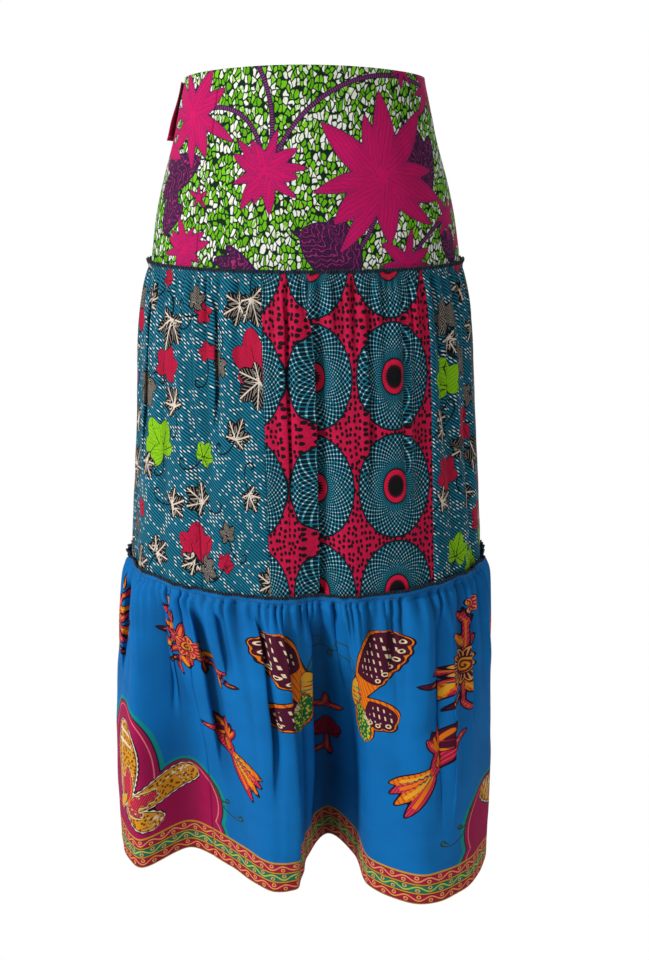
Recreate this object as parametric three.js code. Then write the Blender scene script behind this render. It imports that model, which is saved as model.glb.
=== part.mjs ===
// A high-waisted, ankle-length tiered skirt, in millimetres, +Z up. The origin is the
// centre of the waist, +X is the wearer's left and -Y is the front.
//
// A fitted hip yoke carries a gathered middle tier, and that carries a gathered bottom
// tier. Each tier is lapped over the one above: its gathered top edge stands up as a
// small heading above the stitch line. Every cut piece is a thin closed wall of its own,
// parted from its neighbours by a seam gap. The skirt keeps the hollow form that it has
// when it is worn, and is open at the waist and at the hem.
import * as THREE from "three";

// ---- driving dimensions, in millimetres ----
const WALL = 1.2; // thickness of the cloth wall
const SEAM_GAP = 0.3; // clearance between two pieces at a seam
const LAP = WALL + 1.1; // from the middle of a wall to the middle of the wall lapped over it
const TUCK = 3; // how far a tier's lower edge runs on behind the next tier's stitch line
const HEADING = 9; // height of a gathered heading above its stitch line
const WAIST_RISE = 5; // how much higher the waist is at the front than at the sides
const YOKE_END = 210; // level of the middle tier's stitch line below the waist
const MIDDLE_END = 577; // level of the bottom tier's stitch line
const HEM = 975; // level of the hem
const FLAT_START = 8; // stretch under a stitch line that still follows the tier above

// ---- gathers: waves round the whole skirt, and their heights in millimetres ----
const MIDDLE_GATHERS = { count: 60, height: 3.2, fade: 46, ruffle: 2.6, lean: 1.2 };
const BOTTOM_GATHERS = { count: 56, height: 4.6, fade: 60, ruffle: 2.8, lean: 1.6 };
const COLUMNS_PER_WAVE = 4;

// Soft folds that run on below the bottom tier's gathers: waves round, height and reach.
const SOFT_FOLDS = [
  { waves: 13, height: 3.4, phase: 0.9, reach: 210 },
  { waves: 21, height: 2.6, phase: 2.6, reach: 150 },
];

// ---- the figure: half-width and half-depth of the cloth at levels below the waist ----
const SECTIONS = [
  { level: -10, halfWidth: 137.5, halfDepth: 107 },
  { level: 0, halfWidth: 138.5, halfDepth: 108 },
  { level: 29, halfWidth: 145, halfDepth: 111 },
  { level: 68, halfWidth: 154.5, halfDepth: 116 },
  { level: 124, halfWidth: 171, halfDepth: 125 },
  { level: 159, halfWidth: 179, halfDepth: 129 },
  { level: 210, halfWidth: 187, halfDepth: 133 },
  { level: 256, halfWidth: 195, halfDepth: 140 },
  { level: 316, halfWidth: 203, halfDepth: 147 },
  { level: 443, halfWidth: 214, halfDepth: 157 },
  { level: 577, halfWidth: 224, halfDepth: 164 },
  { level: 590, halfWidth: 225, halfDepth: 165 },
];

// Long folds of the middle tier: where each lies round the ring in degrees, its width, and
// how far it goes in at the top, half way down and at the bottom of the tier.
const LONG_FOLDS = [
  { angle: -104, width: 6, top: 0.5, middle: 3, bottom: 4 },
  { angle: -74, width: 6, top: 0.5, middle: 3, bottom: 4 },
  { angle: -52, width: 5, top: 1, middle: 4, bottom: 4 },
  { angle: -33, width: 4.5, top: 1.5, middle: 6, bottom: 4 },
  { angle: -20, width: 5, top: 0.5, middle: 2, bottom: 3 },
  { angle: 4, width: 6.5, top: 0.5, middle: 7, bottom: 13 },
  { angle: 22, width: 5, top: 0.5, middle: 2, bottom: 3 },
  { angle: 40, width: 4.5, top: 1, middle: 3, bottom: 3 },
  { angle: 54, width: 4.5, top: 1.5, middle: 6, bottom: 4 },
  { angle: 68, width: 4.5, top: 1.5, middle: 6, bottom: 4 },
  { angle: 84, width: 5, top: 0.5, middle: 3, bottom: 3 },
  { angle: 103, width: 5, top: 1, middle: 4, bottom: 5 },
  { angle: 128, width: 6, top: 1, middle: 5, bottom: 8 },
  { angle: 158, width: 6, top: 1, middle: 5, bottom: 9 },
  { angle: 183, width: 5, top: 0.5, middle: 3, bottom: 4 },
  { angle: 202, width: 6, top: 1, middle: 5, bottom: 9 },
  { angle: 231, width: 6, top: 1, middle: 5, bottom: 8 },
];

// How far a thread line of the middle tier drifts round, in degrees, from its top to its
// bottom edge.
const DRIFT = [
  { angle: -90, drift: 0 },
  { angle: -40, drift: 8 },
  { angle: -14, drift: 4 },
  { angle: 45, drift: -1.5 },
  { angle: 90, drift: 0 },
  { angle: 180, drift: 0 },
];

// The hem seen from above, a row for each crest, valley and turn of its flutes: the
// place of the hem, how much it hangs below (or is lifted above) its level, and the
// angle at which that thread line leaves the stitch line above.
const FLUTES = [
  { name: "left side", x: -257, y: -8, drop: 10, angle: -88 },
  { name: "left flute", x: -215, y: -104, drop: 4, angle: -66 },
  { name: "left valley", x: -154, y: -72, drop: -4, angle: -48 },
  { name: "front flute rise", x: -98, y: -106, drop: 0, angle: -35 },
  { name: "front flute", x: -40, y: -157, drop: 3, angle: -16 },
  { name: "front flute edge", x: -9, y: -144, drop: 2, angle: -7 },
  { name: "centre valley, left wall", x: 0, y: -92, drop: -3, angle: -1 },
  { name: "centre valley", x: 28, y: -46, drop: -9, angle: 5 },
  { name: "centre valley, right wall", x: 61, y: -82, drop: -3, angle: 10 },
  { name: "right flute edge", x: 80, y: -147, drop: 2, angle: 17 },
  { name: "right flute", x: 141, y: -179, drop: 4, angle: 36 },
  { name: "right flute shoulder", x: 203, y: -146, drop: 3, angle: 57 },
  { name: "right side", x: 243, y: -30, drop: 8, angle: 82 },
  { name: "right back flute", x: 226, y: 70, drop: 4, angle: 104 },
  { name: "right back valley", x: 173, y: 92, drop: -3, angle: 120 },
  { name: "back right flute", x: 126, y: 168, drop: 4, angle: 139 },
  { name: "back right valley", x: 58, y: 112, drop: -5, angle: 159 },
  { name: "back flute", x: -4, y: 182, drop: 4, angle: 180 },
  { name: "back left valley", x: -62, y: 118, drop: -4, angle: 200 },
  { name: "back left flute", x: -134, y: 168, drop: 4, angle: 222 },
  { name: "left back valley", x: -180, y: 96, drop: -3, angle: 239 },
  { name: "left back flute", x: -236, y: 72, drop: 4, angle: 256 },
];

// ---- the cut pieces: a start and an end round the ring, in degrees ----
const ZIP_LINE = 256;
const LEFT_SEAM = -41;
const RIGHT_SEAM = 139;
const YOKE_PIECES = [
  { name: "yoke_front", from: LEFT_SEAM, to: RIGHT_SEAM, colour: "#86ad25" },
  { name: "yoke_back_right", from: RIGHT_SEAM, to: ZIP_LINE, colour: "#86ad25" },
  { name: "yoke_back_left", from: ZIP_LINE, to: LEFT_SEAM + 360, colour: "#86ad25" },
];
const MIDDLE_PIECES = [
  { name: "middle_front_left", from: LEFT_SEAM, to: -14, colour: "#1b6f83" },
  { name: "middle_front_centre", from: -14, to: 45, colour: "#9c1440" },
  { name: "middle_front_right", from: 45, to: RIGHT_SEAM, colour: "#1b6f83" },
  { name: "middle_back", from: RIGHT_SEAM, to: LEFT_SEAM + 360, colour: "#1b6f83" },
];
const BOTTOM_PIECES = [
  { name: "bottom_front", from: LEFT_SEAM, to: RIGHT_SEAM, colour: "#0a72b8" },
  { name: "bottom_back", from: RIGHT_SEAM, to: LEFT_SEAM + 360, colour: "#0a72b8" },
];
// The lap over the zip: a strip that hangs from the waist and stands off at its free edge.
const FLAP = { from: 256.6, to: 274.5, top: 4, bottom: 69, lift: 6, columns: 8, rows: 5 };

const YOKE_COLUMNS = 76; // round the whole ring
const YOKE_LEVELS = [0, 30, 62, 95, 128, 165, YOKE_END + TUCK];

const radians = THREE.MathUtils.degToRad;
const TURN = 2 * Math.PI;

// A smooth function through the rows of a table, that doesn't swing past them.
function track(rows, at, value) {
  const x = rows.map((row) => row[at]);
  const y = rows.map((row) => row[value]);
  const rise = x.slice(1).map((end, i) => (y[i + 1] - y[i]) / (end - x[i]));
  const slope = x.map((_, i) => {
    if (i === 0) return rise[0];
    if (i === rise.length) return rise[i - 1];
    const [before, after] = [rise[i - 1], rise[i]];
    return before * after <= 0 ? 0 : (2 * before * after) / (before + after);
  });
  return (place) => {
    const p = THREE.MathUtils.clamp(place, x[0], x[x.length - 1]);
    let i = 0;
    while (i < x.length - 2 && p > x[i + 1]) i += 1;
    const h = x[i + 1] - x[i];
    const s = (p - x[i]) / h;
    const [s2, s3] = [s * s, s * s * s];
    return (
      (2 * s3 - 3 * s2 + 1) * y[i] +
      (s3 - 2 * s2 + s) * h * slope[i] +
      (3 * s2 - 2 * s3) * y[i + 1] +
      (s3 - s2) * h * slope[i + 1]
    );
  };
}

// The rows of a table that closes on itself, with a turn more at each end.
function wrapped(rows, at, period) {
  const shifted = (by) => rows.map((row) => ({ ...row, [at]: row[at] + by }));
  return [...shifted(-period), ...rows, ...shifted(period)];
}

const halfWidth = track(SECTIONS, "level", "halfWidth");
const halfDepth = track(SECTIONS, "level", "halfDepth");
const driftAt = track(wrapped(DRIFT, "angle", 360), "angle", "drift");

// The smallest difference between two directions, in degrees.
function apart(angle, other) {
  return THREE.MathUtils.euclideanModulo(angle - other + 180, 360) - 180;
}

// How far the long folds of the middle tier carry the cloth out from its ellipse.
function foldAt(level, angle) {
  const down = THREE.MathUtils.clamp((level - YOKE_END) / (MIDDLE_END - YOKE_END), 0, 1);
  const onset = THREE.MathUtils.smoothstep(level, YOKE_END + 4, YOKE_END + 60);
  let out = 2.2 * onset;
  for (const fold of LONG_FOLDS) {
    const across = apart(angle, fold.angle) / fold.width;
    const depth =
      down < 0.5
        ? THREE.MathUtils.lerp(fold.top, fold.middle, 2 * down)
        : THREE.MathUtils.lerp(fold.middle, fold.bottom, (2 * down - 1) ** 1.6);
    out -= onset * depth * Math.exp(-across * across);
  }
  return out;
}

// The point of a ring at a level and an angle, moved out by `out`.
function ringPoint(level, angle, out = 0) {
  const a = radians(angle);
  const [w, d] = [halfWidth(level), halfDepth(level)];
  const normal = new THREE.Vector2(Math.sin(a) / w, -Math.cos(a) / d).normalize();
  const move = out + foldAt(level, angle);
  return new THREE.Vector2(
    w * Math.sin(a) + normal.x * move,
    -d * Math.cos(a) + normal.y * move,
  );
}

// How uneven the gathers are: a number near 1 that changes slowly round the skirt.
function uneven(c) {
  return 1 + 0.3 * Math.sin(TURN * 7 * c + 1.3) + 0.2 * Math.sin(TURN * 17 * c + 0.4);
}

// The height of a gathering wave, from 0 in its valleys to 1 on its crests.
function wave(count, c) {
  const shift = 0.25 * Math.sin(TURN * 5 * c) + 0.12 * Math.sin(TURN * 13 * c + 2);
  return 0.5 - 0.5 * Math.cos(TURN * (count * c + shift));
}

// How far gathers carry the cloth out, `below` millimetres under their stitch line.
function gatherOut(gathers, c, below) {
  const height = uneven(c) * wave(gathers.count, c);
  if (below < 0) {
    const up = -below / HEADING;
    return up * (gathers.lean + gathers.ruffle * height);
  }
  const puff = 1 - Math.exp(-below / 9);
  return gathers.height * height * puff * Math.exp(-below / gathers.fade);
}

// ---- the three tiers, each as a surface: place(c, level) with c from 0 to 1 round ----
function yokePlace(c, level) {
  const angle = 360 * c;
  const front = Math.max(0, Math.cos(radians(angle))) ** 2;
  const p = ringPoint(level, angle);
  return new THREE.Vector3(p.x, p.y, -level + WAIST_RISE * front * (1 - level / YOKE_END));
}

function middlePlace(c, level) {
  const down = THREE.MathUtils.clamp((level - YOKE_END) / (MIDDLE_END - YOKE_END), 0, 1);
  const angle = 360 * c + driftAt(apart(360 * c, 0)) * down;
  const below = level - YOKE_END;
  const lap = LAP * (1 - THREE.MathUtils.smoothstep(below, 20, 200));
  const p = ringPoint(level, angle, lap + gatherOut(MIDDLE_GATHERS, c, below));
  return new THREE.Vector3(p.x, p.y, -level);
}

// The hem's outline, and where each flute lies on it: `along` is its share of the hem's
// length, and `c` the mean of that share and of its share of the turn.
const hemCurve = new THREE.CatmullRomCurve3(
  FLUTES.map((row) => new THREE.Vector3(row.x, row.y, 0)),
  true,
  "centripetal",
);
hemCurve.arcLengthDivisions = 40 * FLUTES.length;
const lengths = hemCurve.getLengths();
const fluteRows = FLUTES.map((row, i) => {
  const along = lengths[40 * i] / lengths[lengths.length - 1];
  return { ...row, along, c: (along + (row.angle - FLUTES[0].angle) / 360) / 2 };
});
const periodic = (value, period) =>
  track(
    [-1, 0, 1].flatMap((turn) =>
      fluteRows.map((row) => ({ c: row.c + turn, value: row[value] + turn * period })),
    ),
    "c",
    "value",
  );
const alongAt = periodic("along", 1);
const angleAt = periodic("angle", 360);
const dropAt = periodic("drop", 0);
const cAtAngle = track(
  fluteRows.concat({ ...fluteRows[0], angle: FLUTES[0].angle + 360, c: 1 }),
  "angle",
  "c",
);

// The c of the thread line that leaves the stitch line at an angle.
function cOf(angle) {
  const turns = Math.floor((angle - FLUTES[0].angle) / 360);
  return cAtAngle(angle - 360 * turns) + turns;
}

function bottomPlace(c, level) {
  const turned = THREE.MathUtils.euclideanModulo(c, 1);
  const below = level - MIDDLE_END;
  const angle = angleAt(turned);
  const gathered = LAP + gatherOut(BOTTOM_GATHERS, turned, below);
  const top = ringPoint(Math.min(level, MIDDLE_END + TUCK), angle, gathered);
  const down = (below - FLAT_START) / (HEM - MIDDLE_END - FLAT_START);
  if (down <= 0) return new THREE.Vector3(top.x, top.y, -level);
  const spread = Math.sin(Math.min(1, 1.2 * down) * (Math.PI / 2));
  const hem = hemCurve.getPointAt(THREE.MathUtils.euclideanModulo(alongAt(turned), 1));
  let soft = 0;
  for (const fold of SOFT_FOLDS) {
    const fade = Math.exp(-below / fold.reach) * (1 - Math.exp(-below / 30));
    soft += fold.height * fade * (1 + Math.cos(TURN * fold.waves * turned + fold.phase));
  }
  const outward = new THREE.Vector2(Math.sin(radians(angle)), -Math.cos(radians(angle)));
  return new THREE.Vector3(
    THREE.MathUtils.lerp(top.x, hem.x, spread) + soft * outward.x,
    THREE.MathUtils.lerp(top.y, hem.y, spread) + soft * outward.y,
    -level - dropAt(turned) * down,
  );
}

// ---- walls ----
// The points of a surface moved half a wall outwards (side 1) or inwards (side -1).
function wallPoint(place, c, level, side) {
  const [dc, dl] = [2e-4, 0.2];
  const round = place(c + dc, level).sub(place(c - dc, level));
  const down = place(c, level + dl).sub(place(c, level - dl));
  const normal = down.cross(round).normalize();
  return place(c, level).addScaledVector(normal, (side * WALL) / 2);
}

// A closed wall over a surface between c = from and c = to. Each row has a level and a
// step: with a step of 2 the row uses every second column.
function wallGeometry(place, from, to, columns, rows) {
  const points = [];
  const grid = [1, -1].map((side) =>
    rows.map(({ level, step }) => {
      const line = [];
      for (let j = 0; j <= columns; j += step) {
        const c = THREE.MathUtils.lerp(from, to, j / columns);
        line.push(points.push(wallPoint(place, c, level, side)) - 1);
      }
      return line;
    }),
  );
  const faces = [];
  // The faces between two lines of points; the lower line may have half the points.
  const strip = (upper, lower, flip) => {
    const add = (a, b, c) => faces.push(...(flip ? [a, c, b] : [a, b, c]));
    if (upper.length === lower.length) {
      for (let j = 0; j + 1 < upper.length; j += 1) {
        add(upper[j], lower[j], lower[j + 1]);
        add(upper[j], lower[j + 1], upper[j + 1]);
      }
      return;
    }
    for (let j = 0; j + 1 < lower.length; j += 1) {
      add(upper[2 * j], lower[j], upper[2 * j + 1]);
      add(upper[2 * j + 1], lower[j], lower[j + 1]);
      add(upper[2 * j + 1], lower[j + 1], upper[2 * j + 2]);
    }
  };
  const [outer, inner] = grid;
  for (let i = 0; i + 1 < rows.length; i += 1) {
    strip(outer[i], outer[i + 1], false);
    strip(inner[i], inner[i + 1], true);
  }
  strip(inner[0], outer[0], false);
  strip(outer.at(-1), inner.at(-1), false);
  const side = (lines, end) => lines.map((line) => line.at(end));
  strip(side(inner, 0), side(outer, 0), true);
  strip(side(inner, -1), side(outer, -1), false);
  return new THREE.BufferGeometry().setFromPoints(points).setIndex(faces);
}

const skirt = new THREE.Group();

function addPiece(name, colour, geometry) {
  const material = new THREE.MeshStandardMaterial({ color: colour, roughness: 0.85 });
  const mesh = new THREE.Mesh(geometry, material);
  mesh.name = name;
  skirt.add(mesh);
}

// Half a seam gap as a share of a ring whose length is about `round`.
const halfGap = (round) => SEAM_GAP / 2 / round;

// An even number of columns for a share of a ring that has `count` of them.
const evenColumns = (share, count) => 2 * Math.max(1, Math.round((share * count) / 2));

const fullRows = (levels) => levels.map((level) => ({ level, step: 1 }));
const halfRows = (levels) => levels.map((level) => ({ level, step: 2 }));

function addYoke() {
  for (const piece of YOKE_PIECES) {
    const gap = halfGap(1000);
    const [from, to] = [piece.from / 360 + gap, piece.to / 360 - gap];
    const columns = evenColumns(to - from, YOKE_COLUMNS);
    const rows = fullRows(YOKE_LEVELS);
    addPiece(piece.name, piece.colour, wallGeometry(yokePlace, from, to, columns, rows));
  }
}

// The flap is made from the yoke's own surface, moved out.
function addFlap() {
  const place = (c, level) => {
    const across = (360 * c - FLAP.from) / (FLAP.to - FLAP.from);
    const down = (level - FLAP.top) / (FLAP.bottom - FLAP.top);
    const out = LAP + FLAP.lift * across * across * (0.25 + 0.75 * down);
    const p = ringPoint(level, 360 * c, out);
    return new THREE.Vector3(p.x, p.y, -level);
  };
  const levels = Array.from({ length: FLAP.rows }, (_, i) =>
    THREE.MathUtils.lerp(FLAP.top, FLAP.bottom, i / (FLAP.rows - 1)),
  );
  const [from, to] = [FLAP.from / 360, FLAP.to / 360];
  const geometry = wallGeometry(place, from, to, FLAP.columns, fullRows(levels));
  addPiece("zip_flap", "#c2125f", geometry);
}

function addMiddleTier() {
  const count = MIDDLE_GATHERS.count * COLUMNS_PER_WAVE;
  const rows = [
    ...fullRows([-HEADING, 0, 9, 34].map((below) => YOKE_END + below)),
    ...halfRows([YOKE_END + 85, 380, 470, MIDDLE_END + TUCK]),
  ];
  for (const piece of MIDDLE_PIECES) {
    const gap = halfGap(1150);
    const [from, to] = [piece.from / 360 + gap, piece.to / 360 - gap];
    const columns = evenColumns(to - from, count);
    addPiece(piece.name, piece.colour, wallGeometry(middlePlace, from, to, columns, rows));
  }
}

function addBottomTier() {
  const count = BOTTOM_GATHERS.count * COLUMNS_PER_WAVE;
  const rows = [
    ...fullRows([-HEADING, 0, 10, 36].map((below) => MIDDLE_END + below)),
    ...halfRows([MIDDLE_END + 85, 730, 795, 870, HEM]),
  ];
  for (const piece of BOTTOM_PIECES) {
    const gap = halfGap(1500);
    const [from, to] = [cOf(piece.from) + gap, cOf(piece.to) - gap];
    const columns = evenColumns(to - from, count);
    addPiece(piece.name, piece.colour, wallGeometry(bottomPlace, from, to, columns, rows));
  }
}

addYoke();
addFlap();
addMiddleTier();
addBottomTier();

export default skirt;
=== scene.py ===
"""A high-waisted, ankle-length tiered skirt of printed cotton, filled out as when worn.

A fitted hip yoke carries a gathered middle tier, and that carries a gathered bottom tier.
Each cut piece is a thin shell on the form of its solid. Its cloth coordinates, in metres,
run round the skirt and up it, and its print is drawn from them: large motifs are fields
worked out at the cloth's points, and small repeats come from the material's own nodes.
"""

from __future__ import annotations

import logging
import math
from dataclasses import dataclass, field
from enum import Enum
from typing import Any, Callable

import bmesh
import bpy
import numpy as np
from mathutils import Matrix, Vector

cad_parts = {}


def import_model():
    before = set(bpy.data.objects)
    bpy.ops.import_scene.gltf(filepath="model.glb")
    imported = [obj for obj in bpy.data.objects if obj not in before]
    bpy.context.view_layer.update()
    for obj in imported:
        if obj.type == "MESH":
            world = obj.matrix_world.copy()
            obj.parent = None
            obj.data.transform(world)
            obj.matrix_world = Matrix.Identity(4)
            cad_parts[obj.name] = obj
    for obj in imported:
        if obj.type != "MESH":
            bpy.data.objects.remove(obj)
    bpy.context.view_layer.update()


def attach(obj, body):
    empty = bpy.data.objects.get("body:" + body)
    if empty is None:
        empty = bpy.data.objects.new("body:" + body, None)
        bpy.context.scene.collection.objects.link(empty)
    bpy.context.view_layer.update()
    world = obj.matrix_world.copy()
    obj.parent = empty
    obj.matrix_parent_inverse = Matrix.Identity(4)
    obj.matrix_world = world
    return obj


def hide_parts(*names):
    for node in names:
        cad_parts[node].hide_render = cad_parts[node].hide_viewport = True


log = logging.getLogger("skirt")

TURN = 2 * math.pi
MM = 0.001
# How far one degree reaches along the cloth, above the bottom tier and on it
MM_PER_DEGREE = 3.6
HEM_MM_PER_DEGREE = 3.9

Array = np.ndarray
Socket = bpy.types.NodeSocket
Point = tuple[float, float]
Rows = tuple[tuple[float, ...], ...]
Surface = Callable[[Array, Array], Array]
Layers = tuple[tuple[str, str, str], ...]


# Smooth tables
class Track:
    """A smooth function through the rows of a table that doesn't swing past them."""

    def __init__(self, places: list[float], values: list[float]) -> None:
        """Works out the slope at each row.

        Args:
            places: Where the rows lie, rising.
            values: The value at each of them.
        """
        self.x = np.array(places, float)
        self.y = np.array(values, float)
        rise = np.diff(self.y) / np.diff(self.x)
        before, after = rise[:-1], rise[1:]
        both = np.where(before + after == 0, 1, before + after)
        inner = np.where(before * after <= 0, 0, 2 * before * after / both)
        self.slope = np.concatenate([[rise[0]], inner, [rise[-1]]])

    def __call__(self, place: Array | float) -> Array:
        """Returns the values at some places, held at the ends of the table."""
        p = np.clip(place, self.x[0], self.x[-1])
        i = np.clip(np.searchsorted(self.x, p, side="right") - 1, 0, len(self.x) - 2)
        h = self.x[i + 1] - self.x[i]
        s = (p - self.x[i]) / h
        return (
            (2 * s**3 - 3 * s**2 + 1) * self.y[i]
            + (s**3 - 2 * s**2 + s) * h * self.slope[i]
            + (3 * s**2 - 2 * s**3) * self.y[i + 1]
            + (s**3 - s**2) * h * self.slope[i + 1]
        )


def smooth_step(value: Array, start: float, end: float) -> Array:
    """Returns 0 before start and 1 after end, with a smooth way between them."""
    s = np.clip((value - start) / (end - start), 0, 1)
    return s * s * (3 - 2 * s)


def turned_in(angle: Array) -> Array:
    """Returns the same angles between -180 and 180 degrees."""
    return np.mod(angle + 180, 360) - 180


def bump(value: Array, centre: float, width: float) -> Array:
    """Returns a smooth hill of height 1 at centre."""
    return np.exp(-(((value - centre) / width) ** 2))


# The form of the skirt, in millimetres as in the part's source
@dataclass(frozen=True)
class Gathers:
    """The waves that a gathering stitch makes round the skirt."""

    count: int
    height: float
    fade: float
    ruffle: float
    lean: float
    pleats: int
    pleat_depth: float
    pleat_fade: float


@dataclass(frozen=True)
class Fold:
    """A long fold of the middle tier, and how far it goes in down the tier."""

    angle: float
    width: float
    top: float
    middle: float
    bottom: float


@dataclass(frozen=True)
class Flute:
    """A crest, valley or turn of the hem: its place, its drop and its thread line."""

    x: float
    y: float
    drop: float
    angle: float


@dataclass(frozen=True)
class Pleat:
    """A fold where the cloth on one side lies over the cloth on the other.

    Its place is an angle at the tier's stitch line, and its levels lie below the waist. An
    overlap over 0 lays the left side over the right.
    """

    angle: float
    start_level: float
    end_level: float
    half_width: float
    overlap: float
    depth: float


@dataclass(frozen=True)
class Crease:
    """A soft trough (or a ridge, if its depth is negative) pressed into a tier.

    It runs from one place to another, each given as an angle at the tier's stitch line
    and a level below the waist. A lip over 0 pushes the cloth on its left over it.
    """

    start_angle: float
    start_level: float
    end_angle: float
    end_level: float
    width: float
    depth: float
    lip: float = 0.0


def tabled(kind: type, *table: tuple[float, ...]) -> tuple[Any, ...]:
    """Returns one item of a kind for each row of a table."""
    return tuple(kind(*row) for row in table)


@dataclass
class SkirtForm:
    """The skirt's middle surfaces, worked out as in the part's source."""

    wall: float = 1.2
    lap_gap: float = 1.1
    tuck: float = 3.0
    heading: float = 9.0
    waist_rise: float = 5.0
    yoke_end: float = 210.0
    middle_end: float = 577.0
    hem: float = 975.0
    flat_start: float = 8.0
    middle_gathers: Gathers = Gathers(60, 4.4, 95, 2.6, 1.2, 104, 3.6, 30)
    bottom_gathers: Gathers = Gathers(56, 5.6, 80, 2.8, 1.6, 112, 6.4, 30)
    soft_folds: Rows = ((13, 4.6, 0.9, 240), (21, 3.6, 2.6, 190), (34, 2.0, 4.4, 150))
    sections: Rows = (
        (-10, 137.5, 107), (0, 138.5, 108), (29, 145, 111), (68, 154.5, 116), (124, 171, 125),
        (159, 179, 129), (210, 187, 133), (256, 195, 140), (316, 203, 147), (443, 214, 157),
        (577, 224, 164), (590, 225, 165),
    )
    folds: tuple[Fold, ...] = tabled(
        Fold,
        (-104, 6, 0.5, 3, 4), (-74, 6, 0.5, 3, 4), (-52, 5, 1, 4, 4), (-33, 4.5, 1.5, 6, 4),
        (-20, 5, 0.5, 2, 3), (4, 6.5, 0.5, 7, 13), (22, 5, 0.5, 2, 3), (40, 4.5, 1, 3, 3),
        (54, 4.5, 1.5, 6, 4), (68, 4.5, 1.5, 6, 4), (84, 5, 0.5, 3, 3), (103, 5, 1, 4, 5),
        (128, 6, 1, 5, 8), (158, 6, 1, 5, 9), (183, 5, 0.5, 3, 4), (202, 6, 1, 5, 9),
        (231, 6, 1, 5, 8),
    )
    drifts: Rows = ((-90, 0), (-40, 8), (-14, 4), (45, -1.5), (90, 0), (180, 0))
    flutes: tuple[Flute, ...] = tabled(
        Flute,
        (-257, -8, 10, -88), (-215, -104, 4, -66), (-154, -72, -4, -48), (-98, -106, 0, -35),
        (-40, -157, 3, -16), (-9, -144, 2, -7), (0, -92, -3, -1), (28, -46, -9, 5),
        (61, -82, -3, 10), (80, -147, 2, 17), (141, -179, 4, 36), (203, -146, 3, 57),
        (243, -30, 8, 82), (226, 70, 4, 104), (173, 92, -3, 120), (126, 168, 4, 139),
        (58, 112, -5, 159), (-4, 182, 4, 180), (-62, 118, -4, 200), (-134, 168, 4, 222),
        (-180, 96, -3, 239), (-236, 72, 4, 256),
    )
    middle_pleats: tuple[Pleat, ...] = tabled(
        Pleat,
        (1.1, 218, 700, 15.5, 14, 11), (-7, 222, 520, 5.5, 4.5, 5), (20, 222, 470, 5.5, 4, 4.5),
        (35, 224, 500, 5.5, -4.5, 4.5), (-33, 222, 400, 7, 5.5, 6), (67, 224, 620, 8, 6.5, 6),
        (53, 228, 430, 6, -4, 4), (122, 226, 560, 9, 7, 6), (172, 226, 620, 10, 8, 7),
        (208, 230, 480, 7, -5, 5), (243, 226, 600, 9, 7, 6), (291, 228, 470, 7, 5, 5),
    )
    bottom_pleats: tuple[Pleat, ...] = tabled(
        Pleat,
        (-6.8, 582, 1040, 12, 10.5, 17), (0.8, 582, 990, 11, 9.5, 18), (-15, 586, 860, 9, 8, 12),
        (-28, 590, 700, 6, 4, 5), (-37, 586, 860, 10, 9, 13), (-50, 592, 780, 8, -5, 7),
        (10, 592, 720, 6, -4, 6), (24, 590, 690, 6, 4, 5), (46, 590, 900, 9, -7.5, 11),
        (58, 592, 780, 7, 5, 6), (112, 592, 800, 9, 7, 7), (152, 592, 830, 9, 7, 7),
        (192, 592, 760, 8, -6, 6), (233, 592, 800, 9, 7, 7), (283, 592, 740, 8, 6, 6),
    )
    middle_creases: tuple[Crease, ...] = tabled(
        Crease,
        (-34, 225, -31, 400, 2.2, 3.4, 2.6), (-46, 232, -41, 470, 2.0, 2.6),
        (-26, 250, -24, 420, 3.0, -2.0), (-20, 240, -17, 330, 1.8, 1.8),
        (12, 235, 14, 420, 1.9, 1.8), (26, 232, 25, 340, 2.0, 1.6), (36, 236, 33, 390, 2.2, 1.8),
        (50, 226, 52, 430, 2.0, 3.0, 2.0), (58, 230, 60, 520, 2.2, -2.4),
        (66, 235, 66, 560, 2.2, 3.0, 2.0), (97, 230, 95, 420, 2.4, 2.6),
        (121, 228, 124, 500, 2.6, 3.0, 2.0), (150, 236, 146, 430, 2.3, 2.6),
        (171, 232, 173, 540, 2.6, 3.2, 2.2), (193, 230, 190, 400, 2.1, 2.4),
        (214, 236, 216, 520, 2.4, 2.8), (241, 230, 238, 440, 2.6, 3.0, 2.0),
        (268, 232, 266, 500, 2.4, 2.6), (291, 236, 294, 430, 2.2, 2.2),
    )
    bottom_creases: tuple[Crease, ...] = tabled(
        Crease,
        (-40, 586, -40, 720, 2.2, 5.0, 3.0), (-52, 586, -56, 760, 2.6, 3.0),
        (-27, 590, -25, 690, 2.0, 3.0), (-18, 588, -16, 700, 2.2, 3.0, 1.5),
        (-33, 640, -29, 790, 3.2, 2.4), (19, 590, 16, 720, 2.4, 3.0),
        (29, 590, 34, 680, 2.2, 2.6), (44, 588, 40, 800, 2.4, 3.6, 1.5),
        (52, 592, 53, 720, 2.2, 2.8), (61, 588, 59, 760, 2.2, 3.4, 2.0),
        (71, 590, 74, 700, 2.2, 2.6), (30, 760, 58, 700, 2.6, 1.8), (24, 800, 40, 760, 2.4, 1.4),
        (97, 590, 95, 720, 2.4, 3.2), (112, 588, 114, 800, 2.6, 3.6, 2.0),
        (131, 590, 128, 700, 2.2, 3.0), (150, 588, 152, 820, 2.6, 4.2, 2.4),
        (169, 592, 167, 710, 2.2, 2.8), (190, 588, 192, 800, 2.6, 4.0, 2.4),
        (210, 590, 208, 700, 2.2, 2.8), (232, 588, 234, 790, 2.6, 3.8, 2.0),
        (252, 590, 250, 700, 2.2, 2.8), (268, 590, 269, 770, 2.4, 3.2),
        (286, 592, 284, 690, 2.2, 2.6), (306, 588, 308, 760, 2.4, 3.0),
    )
    dart_angle: float = 42.0
    dart_length: float = 92.0
    facing_depth: float = 52.0
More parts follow.
